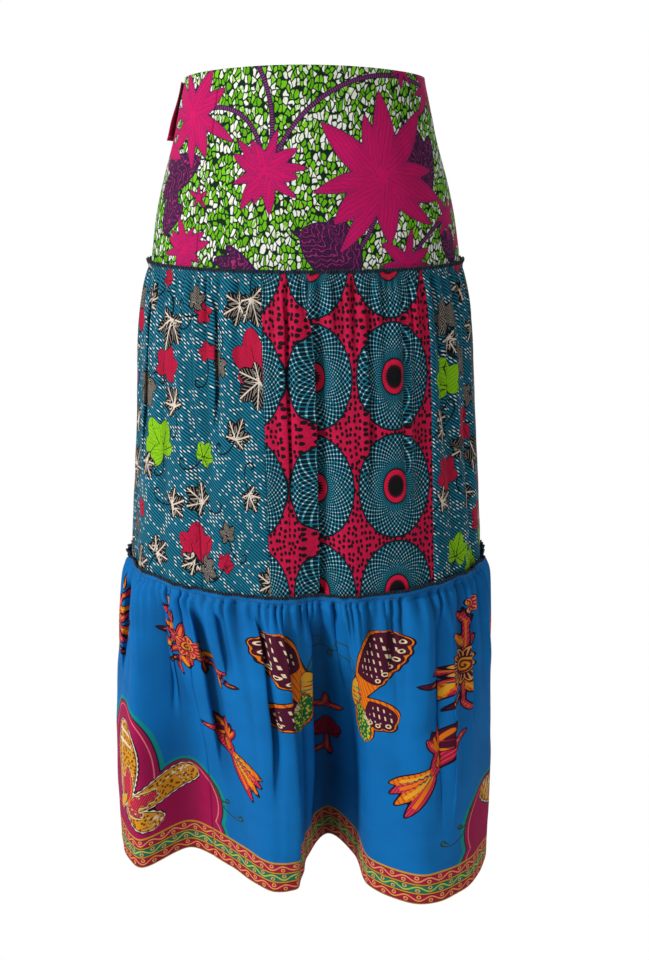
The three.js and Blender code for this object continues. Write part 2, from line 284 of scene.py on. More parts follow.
    sags: Rows = ((-20, 0), (0, 0), (110, 3), (210, 9), (577, 11), (700, 8), (900, 2), (975, 0))
    lap: float = field(init=False)

    def __post_init__(self) -> None:
        """Works out the tables that the tiers share."""
        self.lap = self.wall + self.lap_gap
        levels = [row[0] for row in self.sections]
        self.half_width = Track(levels, [row[1] for row in self.sections])
        self.half_depth = Track(levels, [row[2] for row in self.sections])
        self.sag_at = Track([row[0] for row in self.sags], [row[1] for row in self.sags])
        turns = [(a + 360 * t, d) for t in (-1, 0, 1) for a, d in self.drifts]
        self.drift = Track([a for a, _ in turns], [d for _, d in turns])
        self._measure_hem()

    def _measure_hem(self) -> None:
        """Draws the hem's outline, and finds where each flute lies on it."""
        per = 200
        points = np.array([(f.x, f.y) for f in self.flutes], float)
        spans = [np.roll(points, shift, axis=0) for shift in (1, 0, -1, -2)]
        p0, p1, p2, p3 = (span[:, None, :] for span in spans)
        d0, d1, d2 = (
            np.linalg.norm(b - a, axis=2, keepdims=True) ** 0.5
            for a, b in ((p0, p1), (p1, p2), (p2, p3))
        )
        t1 = ((p1 - p0) / d0 - (p2 - p0) / (d0 + d1) + (p2 - p1) / d1) * d1
        t2 = ((p2 - p1) / d1 - (p3 - p1) / (d1 + d2) + (p3 - p2) / d2) * d1
        w = np.linspace(0, 1, per, endpoint=False)[None, :, None]
        line = (
            p1
            + t1 * w
            + (-3 * p1 + 3 * p2 - 2 * t1 - t2) * w**2
            + (2 * p1 - 2 * p2 + t1 + t2) * w**3
        ).reshape(-1, 2)
        self.hem_line = np.vstack([line, line[:1]])
        steps = np.linalg.norm(np.diff(self.hem_line, axis=0), axis=1)
        self.hem_way = np.concatenate([[0], np.cumsum(steps)])
        self.hem_length = float(self.hem_way[-1])
        along = self.hem_way[:-1:per] / self.hem_length
        angle = np.array([f.angle for f in self.flutes], float)
        c = (along + (angle - angle[0]) / 360) / 2
        drop = np.array([f.drop for f in self.flutes], float)

        def periodic(values: Array, period: float) -> Track:
            """Returns a track of values against c that goes on past one turn."""
            x = np.concatenate([c - 1, c, c + 1])
            return Track(x, np.concatenate([values - period, values, values + period]))

        self.along_at = periodic(along, 1)
        self.angle_at = periodic(angle, 360)
        self.drop_at = periodic(drop, 0)
        self.c_at = Track(np.append(angle, angle[0] + 360), np.append(c, 1))

    def bottom_c(self, angle: float) -> float:
        """Returns the c of the thread line that leaves the stitch line at an angle."""
        first = self.flutes[0].angle
        turns = math.floor((angle - first) / 360)
        return float(self.c_at(angle - 360 * turns)) + turns

    def sag(self, level: Array, angle: Array) -> Array:
        """Returns how far below its level the cloth hangs, most at the centre front."""
        return self.sag_at(level) * (0.5 + 0.5 * np.cos(np.radians(angle))) ** 1.3

    def fold_out(self, level: Array, angle: Array) -> Array:
        """Returns how far the long folds carry the cloth out from its ellipse."""
        down = np.clip((level - self.yoke_end) / (self.middle_end - self.yoke_end), 0, 1)
        onset = smooth_step(level, self.yoke_end + 4, self.yoke_end + 60)
        out = 2.2 * onset
        for fold in self.folds:
            apart = turned_in(angle - fold.angle)
            upper = fold.top + (fold.middle - fold.top) * 2 * down
            lower = fold.middle + (fold.bottom - fold.middle) * np.clip(2 * down - 1, 0, 1) ** 1.6
            depth = np.where(down < 0.5, upper, lower)
            out = out - onset * depth * np.exp(-((apart / fold.width) ** 2))
        return out

    def ring(self, level: Array, angle: Array, out: Array) -> Array:
        """Returns the points of the rings at some levels and angles, moved out."""
        a = np.radians(angle)
        w, d = self.half_width(level), self.half_depth(level)
        nx, ny = np.sin(a) / w, -np.cos(a) / d
        size = np.hypot(nx, ny)
        move = out + self.fold_out(level, angle)
        return np.stack([w * np.sin(a) + nx / size * move, -d * np.cos(a) + ny / size * move], -1)

    @staticmethod
    def gather_out(gathers: Gathers, c: Array, below: Array, heading: float) -> Array:
        """Returns how far gathers carry the cloth out, below their stitch line."""
        uneven = 1 + 0.3 * np.sin(TURN * 7 * c + 1.3) + 0.2 * np.sin(TURN * 17 * c + 0.4)
        shift = 0.25 * np.sin(TURN * 5 * c) + 0.12 * np.sin(TURN * 13 * c + 2)
        height = uneven * (0.5 - 0.5 * np.cos(TURN * (gathers.count * c + shift)))
        up = -below / heading * (gathers.lean + gathers.ruffle * height)
        puff = 1 - np.exp(-np.maximum(below, 0) / 9)
        down = gathers.height * height * puff * np.exp(-below / gathers.fade)
        drift = 0.5 * np.sin(TURN * 9 * c + 0.6) + 0.3 * np.sin(TURN * 23 * c + 1.1)
        valley = (0.5 + 0.5 * np.cos(TURN * (gathers.pleats * c + drift))) ** 2.5
        deep = 1 + 0.45 * np.sin(TURN * 29 * c + 0.9) + 0.3 * np.sin(TURN * 47 * c)
        fall = np.exp(-below / (gathers.pleat_fade * (0.7 + 0.6 * deep)))
        down = down - gathers.pleat_depth * deep * valley * np.minimum(1, puff * 1.8) * fall
        return np.where(below < 0, up, down)

    @staticmethod
    def fold_over(pleats: tuple[Pleat, ...], level: Array, angle: Array) -> tuple[Array, Array]:
        """Works out the folds where cloth lies over cloth.

        Args:
            pleats: The tier's table of such folds.
            level: Levels below the waist.
            angle: Angles of the thread lines at the stitch line.

        Returns:
            How far the cloth moves out, and how far it moves round, in millimetres.
        """
        out, aside = np.zeros_like(level), np.zeros_like(level)
        for pleat in pleats:
            sway = 0.5 * np.sin(level / 37 + pleat.angle)
            apart = turned_in(angle - pleat.angle)
            t = (apart * MM_PER_DEGREE + sway) / pleat.half_width
            long = pleat.end_level - pleat.start_level
            fade = smooth_step(level, pleat.start_level, pleat.start_level + 0.14 * long)
            fade = fade * (1 - smooth_step(level, pleat.end_level - 0.4 * long, pleat.end_level))
            way = math.copysign(1, pleat.overlap)
            near = np.clip(t, -1, 1)
            aside -= pleat.overlap * fade * np.sin(math.pi * near) * (1 - near * near)
            reach = 1 - smooth_step(np.abs(t), 0.5, 2.4)
            out -= pleat.depth * fade * reach * (0.5 * way * np.tanh(2.8 * t) + 0.16)
        return out, aside

    @staticmethod
    def press(creases: tuple[Crease, ...], level: Array, angle: Array) -> tuple[Array, Array]:
        """Works out the small creases of a tier.

        Args:
            creases: The tier's table of creases.
            level: Levels below the waist.
            angle: Angles of the thread lines at the stitch line.

        Returns:
            How far the cloth moves out, in millimetres, and round, in degrees.
        """
        out, round_ = np.zeros_like(level), np.zeros_like(level)
        for crease in creases:
            span = np.array(
                [
                    (crease.end_angle - crease.start_angle) * MM_PER_DEGREE,
                    crease.end_level - crease.start_level,
                ]
            )
            apart = turned_in(angle - crease.start_angle) * MM_PER_DEGREE
            down = level - crease.start_level
            long = float(np.hypot(*span))
            along = (apart * span[0] + down * span[1]) / long
            across = (apart * span[1] - down * span[0]) / long
            fade = smooth_step(along / long, -0.04, 0.22)
            fade = fade * (1 - smooth_step(along / long, 0.55, 1.05))
            wide = crease.width * MM_PER_DEGREE
            out -= crease.depth * fade * np.exp(-((across / wide) ** 2))
            beside = np.where(
                across < 0, np.exp(across / (2.2 * wide)), np.exp(-((across / (0.5 * wide)) ** 2))
            )
            round_ += crease.lip / MM_PER_DEGREE * fade * beside
        return out, round_

    @staticmethod
    def slack(c: Array, level: Array) -> Array:
        """Returns the small unevenness of cloth that hangs, in millimetres."""
        total = np.zeros_like(level)
        waves = (
            (9, 0.011, 0.55, 0.3),
            (23, -0.017, 0.32, 1.9),
            (37, 0.028, 0.2, 4.1),
            (14, -0.034, 0.3, 2.7),
        )
        for around, down, height, phase in waves:
            turn = TURN * around * c + down * level + phase
            total += height * np.sin(turn + 1.3 * np.sin(down * 1.7 * level + phase))
        return total

    def yoke(self, c: Array, level: Array) -> Array:
        """Returns the yoke's points at shares of the turn and levels."""
        angle = 360 * c
        front = np.maximum(0, np.cos(np.radians(angle))) ** 2
        dart = self.dart_angle + 0.03 * level
        near = bump(angle, dart, 0.35) * (1 - smooth_step(level, 20, self.dart_length))
        pucker = bump(angle, dart, 4.0) * bump(level, self.dart_length, 16) * 1.1
        facing = 0.35 * smooth_step(-level, -self.facing_depth - 3, -self.facing_depth + 3)
        out = 0.35 * self.slack(c, level) * smooth_step(level, 0, 40)
        p = self.ring(level, angle, out - 1.3 * near - pucker + facing)
        rise = self.waist_rise * front * (1 - level / self.yoke_end)
        z = -level + rise - self.sag(level, angle)
        return np.stack([p[..., 0], p[..., 1], z], -1) * MM

    def middle(self, c: Array, level: Array) -> Array:
        """Returns the middle tier's points at shares of the turn and levels."""
        down = np.clip((level - self.yoke_end) / (self.middle_end - self.yoke_end), 0, 1)
        around = turned_in(360 * c)
        below = level - self.yoke_end
        near_seam = smooth_step(level, self.middle_end - 6, self.middle_end - 45)
        out, shift = self.press(self.middle_creases, level, around)
        over, aside = self.fold_over(self.middle_pleats, level, around)
        out = (out + self.slack(c, level)) * near_seam * smooth_step(below, 4, 30)
        caught = smooth_step(level, self.middle_end + 1, self.middle_end - 12)
        out = out + over * caught
        shift = shift * near_seam + aside / MM_PER_DEGREE * caught
        angle = 360 * c + self.drift(around) * down + shift
        lap = self.lap * (1 - smooth_step(below, 20, 200))
        gathered = self.gather_out(self.middle_gathers, c, below, self.heading)
        frill = self._frill(c, below)
        p = self.ring(level, angle, lap + gathered + out + frill)
        z = -level + 0.6 * frill - self.sag(level, 360 * c)
        return np.stack([p[..., 0], p[..., 1], z], -1) * MM

    def _frill(self, c: Array, below: Array) -> Array:
        """Returns how the top edge of a heading wavers, in millimetres."""
        up = np.clip(-below / self.heading, 0, 1) ** 2
        waves = np.sin(TURN * 83 * c + 0.7) + np.sin(TURN * 131 * c + 2.2)
        return up * (0.5 * waves + 0.35 * np.sin(TURN * 211 * c))

    def bottom(self, c: Array, level: Array) -> Array:
        """Returns the bottom tier's points at places round it and levels."""
        turned = np.mod(c, 1)
        below = level - self.middle_end
        angle = self.angle_at(turned)
        gathered = self.gather_out(self.bottom_gathers, turned, below, self.heading)
        frill = self._frill(turned, below)
        top_level = np.minimum(level, self.middle_end + self.tuck)
        top = self.ring(top_level, angle, self.lap + gathered + frill)
        down = (below - self.flat_start) / (self.hem - self.middle_end - self.flat_start)
        spread = np.sin(np.clip(1.2 * down, 0, 1) * math.pi / 2)
        way = np.mod(self.along_at(turned), 1) * self.hem_length
        hem = np.stack([np.interp(way, self.hem_way, self.hem_line[:, i]) for i in (0, 1)], -1)
        soft = np.zeros_like(level)
        for waves, height, phase, reach in self.soft_folds:
            fade = np.exp(-below / reach) * (1 - np.exp(-np.maximum(below, 0) / 30))
            soft += height * fade * (1 + np.cos(TURN * waves * turned + phase))
        around = turned_in(angle)
        out, shift = self.press(self.bottom_creases, level, around)
        over, aside = self.fold_over(self.bottom_pleats, level, around)
        out = out + over
        hanging = smooth_step(below, 4, 26)
        soft = soft + (out + 1.3 * self.slack(turned, level)) * hanging
        a = np.radians(angle)
        away = np.stack([np.sin(a), -np.cos(a)], -1)
        sideways = np.stack([np.cos(a), np.sin(a)], -1)
        share = np.where(down > 0, spread, 0)[..., None]
        plan = top + (hem - top) * share
        plan = plan + np.where(down > 0, soft, 0)[..., None] * away
        plan = plan + ((shift * HEM_MM_PER_DEGREE + aside) * hanging)[..., None] * sideways
        z = -level - self.drop_at(turned) * np.maximum(down, 0) + 0.6 * frill
        z = z - self.sag(level, angle)
        return np.stack([plan[..., 0], plan[..., 1], z], -1) * MM


# Drawing a print: fields in millimetres, over 0 inside a shape. FAR is a field's value
# where no shape is near, and OPEN is a line's.
FAR = -60.0
OPEN = 60.0


@dataclass(frozen=True)
class Petal:
    """A pointed petal or leaf lobe that starts at its motif's own origin."""

    turn: float
    length: float
    width: float
    bend: float = 0.0
    belly: float = 0.4


def petal_half(petal: Petal, t: Array | float) -> Array | float:
    """Returns a petal's half-width at shares of its length."""
    fall = 0.62 * (1 - petal.belly) / petal.belly
    rise = (t / petal.belly) ** 0.62
    return 0.5 * petal.width * rise * ((1 - t) / (1 - petal.belly)) ** fall


def turned_axes(
    u: Array, v: Array, x: float, y: float, turn: float
) -> tuple[Array, Array]:
    """Returns how far places lie along a direction from a point, and across it."""
    a = math.radians(turn)
    du, dv = u - x, v - y
    return du * math.cos(a) + dv * math.sin(a), -du * math.sin(a) + dv * math.cos(a)


def petal_field(
    u: Array, v: Array, x: float, y: float, petal: Petal
) -> tuple[Array, Array, Array]:
    """Draws one petal.

    Args:
        u: Places round the cloth.
        v: Places up the cloth.
        x: The petal's root, round the cloth.
        y: The petal's root, up the cloth.
        petal: Its direction and sizes.

    Returns:
        Its field, and the way along it and across it.
    """
    p, q = turned_axes(u, v, x, y, petal.turn)
    t = np.clip(p / petal.length, 0, 1)
    q = q - petal.bend * petal.length * t * t
    inside = petal_half(petal, t) - np.abs(q)
    outside = -np.hypot(q, np.where(p < 0, p, p - petal.length))
    return np.where((p > 0) & (p < petal.length), inside, outside), p, q


def polar(x: float, y: float, turn: float, long: float) -> Point:
    """Returns the place that lies a distance from another, at a turn in degrees."""
    a = math.radians(turn)
    return x + long * math.cos(a), y + long * math.sin(a)


def rim_spots(
    x: float, y: float, petal: Petal, start: float, end: float, count: int
) -> list[Point]:
    """Returns evenly spaced places just inside a petal's right edge.

    Args:
        x: The petal's root, round the cloth.
        y: The petal's root, up the cloth.
        petal: The petal.
        start: The share of its length at which the first place lies.
        end: The share of its length at which the last one lies.
        count: How many there are.

    Returns:
        The places.
    """
    a = math.radians(petal.turn)
    spots = []
    for t in np.linspace(start, end, count):
        p, q = t * petal.length, 5.5 - float(petal_half(petal, t))
        spots.append((x + p * math.cos(a) - q * math.sin(a), y + p * math.sin(a) + q * math.cos(a)))
    return spots


def tendril(x: float, y: float, turn: float, curl: float, step: float = 13.5) -> list[Point]:
    """Returns the points of a thin line that curls up more and more towards its end."""
    a, points = math.radians(turn), [(x, y)]
    for number in range(1, 9):
        a += curl * (0.04 + 0.022 * number * number)
        long = step * (1 - number / 11.25)
        points.append((points[-1][0] + long * math.cos(a), points[-1][1] + long * math.sin(a)))
    return points


def oval_field(
    u: Array, v: Array, x: float, y: float, wide: float, high: float, turn: float
) -> Array:
    """Returns the field of an oval of half-sizes wide and high, turned by turn degrees."""
    p, q = turned_axes(u, v, x, y, turn)
    size = np.hypot(p / wide, q / high) + 1e-6
    steep = np.hypot(p / wide**2, q / high**2) + 1e-6 / min(wide, high)
    return size * (1 - size) / steep


def rounded(points: list[Point], per: int = 8) -> Array:
    """Returns a smooth line through a few points."""
    p = np.array(points, float)
    p = np.vstack([2 * p[0] - p[1], p, 2 * p[-1] - p[-2]])
    t = np.linspace(0, 1, per, endpoint=False)[None, :, None]
    a, b, c, d = (p[i : len(p) - 3 + i][:, None, :] for i in range(4))
    line = 0.5 * (
        2 * b
        + (c - a) * t
        + (2 * a - 5 * b + 4 * c - d) * t**2
        + (3 * b - a - 3 * c + d) * t**3
    )
    line = line.reshape(-1, 2)
    return np.vstack([line, p[-2:-1]])


def stroke_field(u: Array, v: Array, line: Array) -> tuple[Array, Array]:
    """Returns the signed way across a line, and the way along it, at each place."""
    best = np.full(u.shape, 1e9)
    side, way = np.zeros(u.shape), np.zeros(u.shape)
    gone = 0.0
    for (ax, ay), (bx, by) in zip(line[:-1], line[1:]):
        dx, dy = bx - ax, by - ay
        long = math.hypot(dx, dy)
        if long < 1e-6:
            continue
        t = np.clip(((u - ax) * dx + (v - ay) * dy) / long**2, 0, 1)
        gap = np.hypot(u - ax - t * dx, v - ay - t * dy)
        closer = gap < best
        best = np.where(closer, gap, best)
        cross = (u - ax) * dy - (v - ay) * dx
        side = np.where(closer, np.sign(cross), side)
        way = np.where(closer, gone + t * long, way)
        gone += long
    return side * best, way


class Canvas:
    """The places of one piece's cloth, and the layers of print drawn on them."""

    def __init__(self, u: Array, v: Array) -> None:
        """Starts with bare cloth.

        Args:
            u: Places round the cloth, in millimetres.
            v: Places up the cloth, in millimetres.
        """
        self.u, self.v = u.ravel(), v.ravel()
        self.layers: dict[str, Array] = {}

    def layer(self, name: str, start: float = FAR) -> Array:
        """Returns a layer, made the first time that it is asked for."""
        if name not in self.layers:
            self.layers[name] = np.full(self.u.shape, float(start))
        return self.layers[name]

    def near(self, x: float, y: float, reach: float) -> tuple[Array, Array, Array]:
        """Returns the numbers of the places within reach of a point, and where they lie."""
        at = np.flatnonzero((np.abs(self.u - x) < reach) & (np.abs(self.v - y) < reach))
        return at, self.u[at], self.v[at]

    def inside(self, line: Array, reach: float) -> Array:
        """Returns the numbers of the places within reach of a line's own box."""
        low, high = line.min(0) - reach, line.max(0) + reach
        return np.flatnonzero(
            (self.u > low[0]) & (self.u < high[0]) & (self.v > low[1]) & (self.v < high[1])
        )

    def cover(self, name: str, at: Array, shape: Array, **also: Any) -> None:
        """Adds a shape to a layer, with other layers that follow it where it wins.

        Args:
            name: The layer that holds the field.
            at: The places that the shape was worked out at.
            shape: Its field there.
            also: Layer names and the values that they take.
        """
        layer = self.layer(name)
        wins = shape > layer[at]
        layer[at] = np.where(wins, shape, layer[at])
        for other, value in also.items():
            target = self.layer(other, 0.0)
            target[at] = np.where(wins, value, target[at])

    def dye(self, name: str, at: Array, shape: Array, tone: Tone) -> None:
        """Adds a shape to a layer, and its tone to the layer name_tone."""
        self.cover(name, at, shape, **{name + "_tone": tone.value})

    def line(self, name: str, points: list[Point], reach: float = 9) -> None:
        """Draws a thin line into the layers name_side and name_gap."""
        line = rounded(points)
        at = self.inside(line, reach)
        if not len(at):
            return
        side, _ = stroke_field(self.u[at], self.v[at], line)
        gap = self.layer(name + "_gap", OPEN)
        closer = np.abs(side) < gap[at]
        gap[at] = np.where(closer, np.abs(side), gap[at])
        sides = self.layer(name + "_side", OPEN)
        sides[at] = np.where(closer, side, sides[at])


# The prints
@dataclass(frozen=True)
class CracklePrint:
    """Magenta flowers, purple leaves and beaded stems on a green crackle ground.

    A flower's row holds its heart, its size and how many petals it has. A leaf's holds its
    root, turn, length and width, and a stem's its two ends and how far it bows to its left.
    """

    layers: Layers = (
        ("flower", "leaf", "stem"),
        ("along", "across", "stem_way"),
        ("leaf_along", "leaf_across", "stem_way"),
    )
    period: float = 560.0
    flowers: Rows = (
        (90, -114, 84, 11), (-42, -108, 44, 12), (-136, -45, 60, 9), (-146, -189, 34, 11),
        (-124, -134, 16, 5), (167, -14, 36, 7), (116, 2, 22, 6), (190, -155, 28, 7),
        (122, -208, 42, 8), (226, -40, 38, 7), (262, -158, 62, 10), (338, -62, 64, 11),
    )
    leaves: Rows = (
        (62, -216, 137, 80, 56), (-52, -214, 160, 54, 20), (152, -142, 101, 90, 42),
        (-122, -92, 203, 86, 34), (300, -170, 100, 66, 34), (372, -176, 60, 60, 30),
        (206, -210, 120, 50, 24),
    )
    stems: Rows = (
        (-42, -108, -136, -45, -34), (-42, -108, -50, 4, -12), (-42, -108, 167, -14, 46),
        (90, -114, 46, -206, 10), (122, -208, 190, -155, 8), (226, -40, 338, -62, 26),
        (262, -158, 204, -208, -8),
    )

    def draw(self, canvas: Canvas) -> None:
        """Draws the motifs, again and again round the yoke."""
        for turn in (-1, 0, 1, 2):
            shift = turn * self.period
            for x, y, end_x, end_y, bow in self.stems:
                self._stem(canvas, x + shift, y, end_x - x, end_y - y, bow)
            for x, y, direction, long, wide in self.leaves:
                self._leaf(canvas, x + shift, y, direction, long, wide)
            for x, y, size, count in self.flowers:
                self._flower(canvas, x + shift, y, size, count)

    @staticmethod
    def _flower(canvas: Canvas, x: float, y: float, size: float, count: int) -> None:
        """Draws a flower's pointed, bent petals of uneven lengths, and its heart."""
        at, u, v = canvas.near(x, y, 1.3 * size)
        if not len(at):
            return
        for number in range(count):
            turn = size + 360 * number / count
            long = size * (0.98 + 0.14 * math.sin(2.4 * number + size))
            wide = size * (0.31 + 0.05 * math.cos(3.1 * number))
            petal = Petal(turn, long, wide, 0.2 * math.sin(1.7 * number + 0.1 * size))
            shape, along, across = petal_field(u, v, x, y, petal)
            canvas.cover("flower", at, shape, along=along, across=across)
        canvas.cover("flower", at, oval_field(u, v, x, y, 0.25 * size, 0.25 * size, 0))

    @staticmethod
    def _leaf(canvas: Canvas, x: float, y: float, turn: float, long: float, wide: float) -> None:
        """Draws a broad leaf with a small beak."""
        at, u, v = canvas.near(x, y, 1.3 * long)
        if not len(at):
            return
        beak_x, beak_y = polar(x, y, turn, 0.66 * long)
        for petal, root_x, root_y in (
            (Petal(turn, long, wide, 0.08, 0.5), x, y),
            (Petal(turn - 16, 0.86 * long, 0.6 * wide, -0.05, 0.56), x, y),
            (Petal(turn + 34, 0.56 * long, 0.24 * wide, -0.14, 0.3), beak_x, beak_y),
        ):
            shape, along, across = petal_field(u, v, root_x, root_y, petal)
            canvas.cover("leaf", at, shape, leaf_along=along, leaf_across=across)

    @staticmethod
    def _stem(canvas: Canvas, x: float, y: float, dx: float, dy: float, bow: float) -> None:
        """Draws one bowed stem and how far along it each place lies."""
        aside = 4 * bow / math.hypot(dx, dy)
        points = []
        for t in (0, 0.25, 0.5, 0.75, 1):
            out = aside * t * (1 - t)
            points.append((x + dx * t - dy * out, y + dy * t + dx * out))
        line = rounded(points)
        at = canvas.inside(line, 12)
        if len(at):
            side, way = stroke_field(canvas.u[at], canvas.v[at], line)
            canvas.cover("stem", at, 2.7 - np.abs(side), stem_way=way)


class Leaf(Enum):
    """The kinds of ivy leaf, each named as its layer."""

    CRIMSON = "crimson"
    LIME = "lime"
    BLACK = "black"


@dataclass(frozen=True)
class LeafPrint:
    """Crimson, lime and dark ivy leaves and thin vines on a teal twill-line ground."""

    layers: Layers = (
        ("crimson", "lime", "black"),
        ("along", "across", "dotted"),
        ("vine_side", "vine_gap", "dotted"),
    )
    step_round: float = 58.0
    step_up: float = 40.0
    lattice: tuple[int, int] = (-15, -4)
    least_size: float = 13.0
    size_gain: float = 11.0
    front: Point = (-322.0, 276.0)
    crimson: Rows = (
        (-82, -302, 27, 96), (-237, -317, 19, 70), (-194, -525, 22, 84), (-143, -544, 11, 60),
        (236, -448, 19, 120), (-246, -222, 10, 60), (-168, -258, 10, 20), (-164, -300, 10, 100),
        (-300, -500, 11, 30),
    )
    lime: Rows = (
        (-262, -410, 25, 120), (-173, -418, 13, 50), (242, -336, 21, 100), (258, -546, 18, 70),
    )
    black: Rows = (
        (-234, -281, 24, 250), (-113, -252, 18, 200), (-142, -317, 15, 240),
        (-290, -352, 24, 230), (-84, -338, 25, 210), (-229, -360, 17, 120), (-181, -242, 14, 80),
        (-80, -252, 21, 290), (-110, -390, 18, 60), (-190, -471, 18, 140), (-224, -482, 17, 20),
        (-92, -468, 15, 300), (-206, -552, 14, 200), (-176, -556, 15, 330), (-138, -507, 13, 100),
        (-258, -545, 17, 40), (-300, -566, 18, 80), (-72, -562, 16, 150), (246, -264, 20, 110),
        (254, -298, 14, 300), (228, -380, 13, 60), (226, -399, 12, 200), (229, -479, 15, 20),
        (-286, -244, 16, 70), (-282, -446, 15, 300), (262, -420, 14, 150),
    )

    def draw(self, canvas: Canvas) -> None:
        """Draws the front's leaves, and scatters others on a loose lattice elsewhere."""
        for tone, table in zip(Leaf, (self.crimson, self.lime, self.black)):
            for x, y, size, turn in table:
                self._sprig(canvas, x, y, size, turn, tone, y % 2)
        low, high = canvas.u.min(), canvas.u.max()
        tones = (Leaf.CRIMSON, Leaf.BLACK, Leaf.LIME, Leaf.BLACK, Leaf.BLACK)
        for row in range(*self.lattice):
            first = int(low // self.step_round) - 1
            for column in range(first, int(high // self.step_round) + 2):
                place = column + 0.5 * (row % 2) + 0.4 * (self._chance(row, column) - 0.5)
                x = place * self.step_round
                if self.front[0] < x < self.front[1]:
                    continue
                y = (row + 0.5 * (self._chance(column + 7, row) - 0.5)) * self.step_up
                tone = tones[int(5 * self._chance(column, row + 3))]
                size = self.least_size + self.size_gain * self._chance(column + 3, row + 5)
                turn = 360 * self._chance(column + 1, row + 9)
                self._sprig(canvas, x, y, size, turn, tone, row % 2)

    @staticmethod
    def _chance(a: int, b: int) -> float:
        """Returns a fixed number from 0 to 1 for a pair of whole numbers."""
        return (math.sin(a * 127.1 + b * 311.7) * 43758.5453) % 1

    def _sprig(
        self, canvas: Canvas, x: float, y: float, size: float, turn: float, tone: Leaf, odd: float
    ) -> None:
        """Draws a leaf and its thin vine, which curls to the left where odd isn't 0."""
        self._leaf(canvas, x, y, size, turn, tone)
        canvas.line("vine", tendril(x, y, turn + 180, 1 if odd else -1), 7)

    @staticmethod
    def _leaf(canvas: Canvas, x: float, y: float, size: float, turn: float, tone: Leaf) -> None:
        """Draws an ivy leaf of five lobes that spring from its stalk."""
        size = size * (1.12 if tone is Leaf.BLACK else 1.24)
        at, u, v = canvas.near(x, y, 1.7 * size)
        if not len(at):
            return
        dotted = 1.0 if tone is Leaf.BLACK and int(x + y) % 3 == 0 else 0.0
        root_x, root_y = polar(x, y, turn, -0.5 * size)
        lobes = (
            (0, 1.4, 0.9), (50, 1.2, 0.78), (-48, 1.25, 0.76), (104, 0.85, 0.6), (-102, 0.8, 0.6),
        )
        slim = 0.86 if tone is Leaf.BLACK else 1.0
        for away, long, wide in lobes:
            petal = Petal(turn + away, long * size, wide * size * slim, 0.03, 0.52)
            shape, along, across = petal_field(u, v, root_x, root_y, petal)
            canvas.cover(tone.value, at, shape, along=along, across=across, dotted=dotted)


@dataclass(frozen=True)
class PlainPrint:
    """A cloth whose looks come from its material's nodes alone."""

    layers: Layers = ()

    def draw(self, canvas: Canvas) -> None:
        """Needs no layers."""


class Tone(Enum):
    """The inks and fillings of the bottom tier's motifs, as places on their ramp."""

    ORANGE = 0.0
    CRIMSON = 1.0
    MAROON = 2.0
    GREEN = 3.0
    GOLD = 4.0
    CREAM = 5.0
    SPOTTED = 6.0
    SCALED = 7.0


LeafRow = tuple[float, float, float, float, float, Tone]


def fan(
    x: float, y: float, first: float, step: float, count: int, long: float, tones: tuple[Tone, ...]
) -> tuple[LeafRow, ...]:
    """Returns leaves that spread from one root, each a little shorter than the last."""
    return tuple(
        (x, y, first + step * i, long * (1 - 0.12 * i), 6 + 0.08 * long, tones[i % len(tones)])
        for i in range(count)
    )


def twig(turn: float, long: float, count: int) -> tuple[LeafRow, ...]:
    """Returns a slender stalk and its leaves, which stand to both sides by turns."""
    tones = (Tone.CRIMSON, Tone.ORANGE, Tone.MAROON)
    rows: list[LeafRow] = [(0, 0, turn, long, 5, Tone.CRIMSON)]
    for i in range(count):
        way, side = long * (i + 0.6) / count, 1 if i % 2 else -1
        x, y = polar(0, 0, turn, way)
        size = 30 - 13 * i / count
        rows.append((x, y, turn + 42 * side, size, 0.3 * size, tones[i % 3]))
    return tuple(rows)


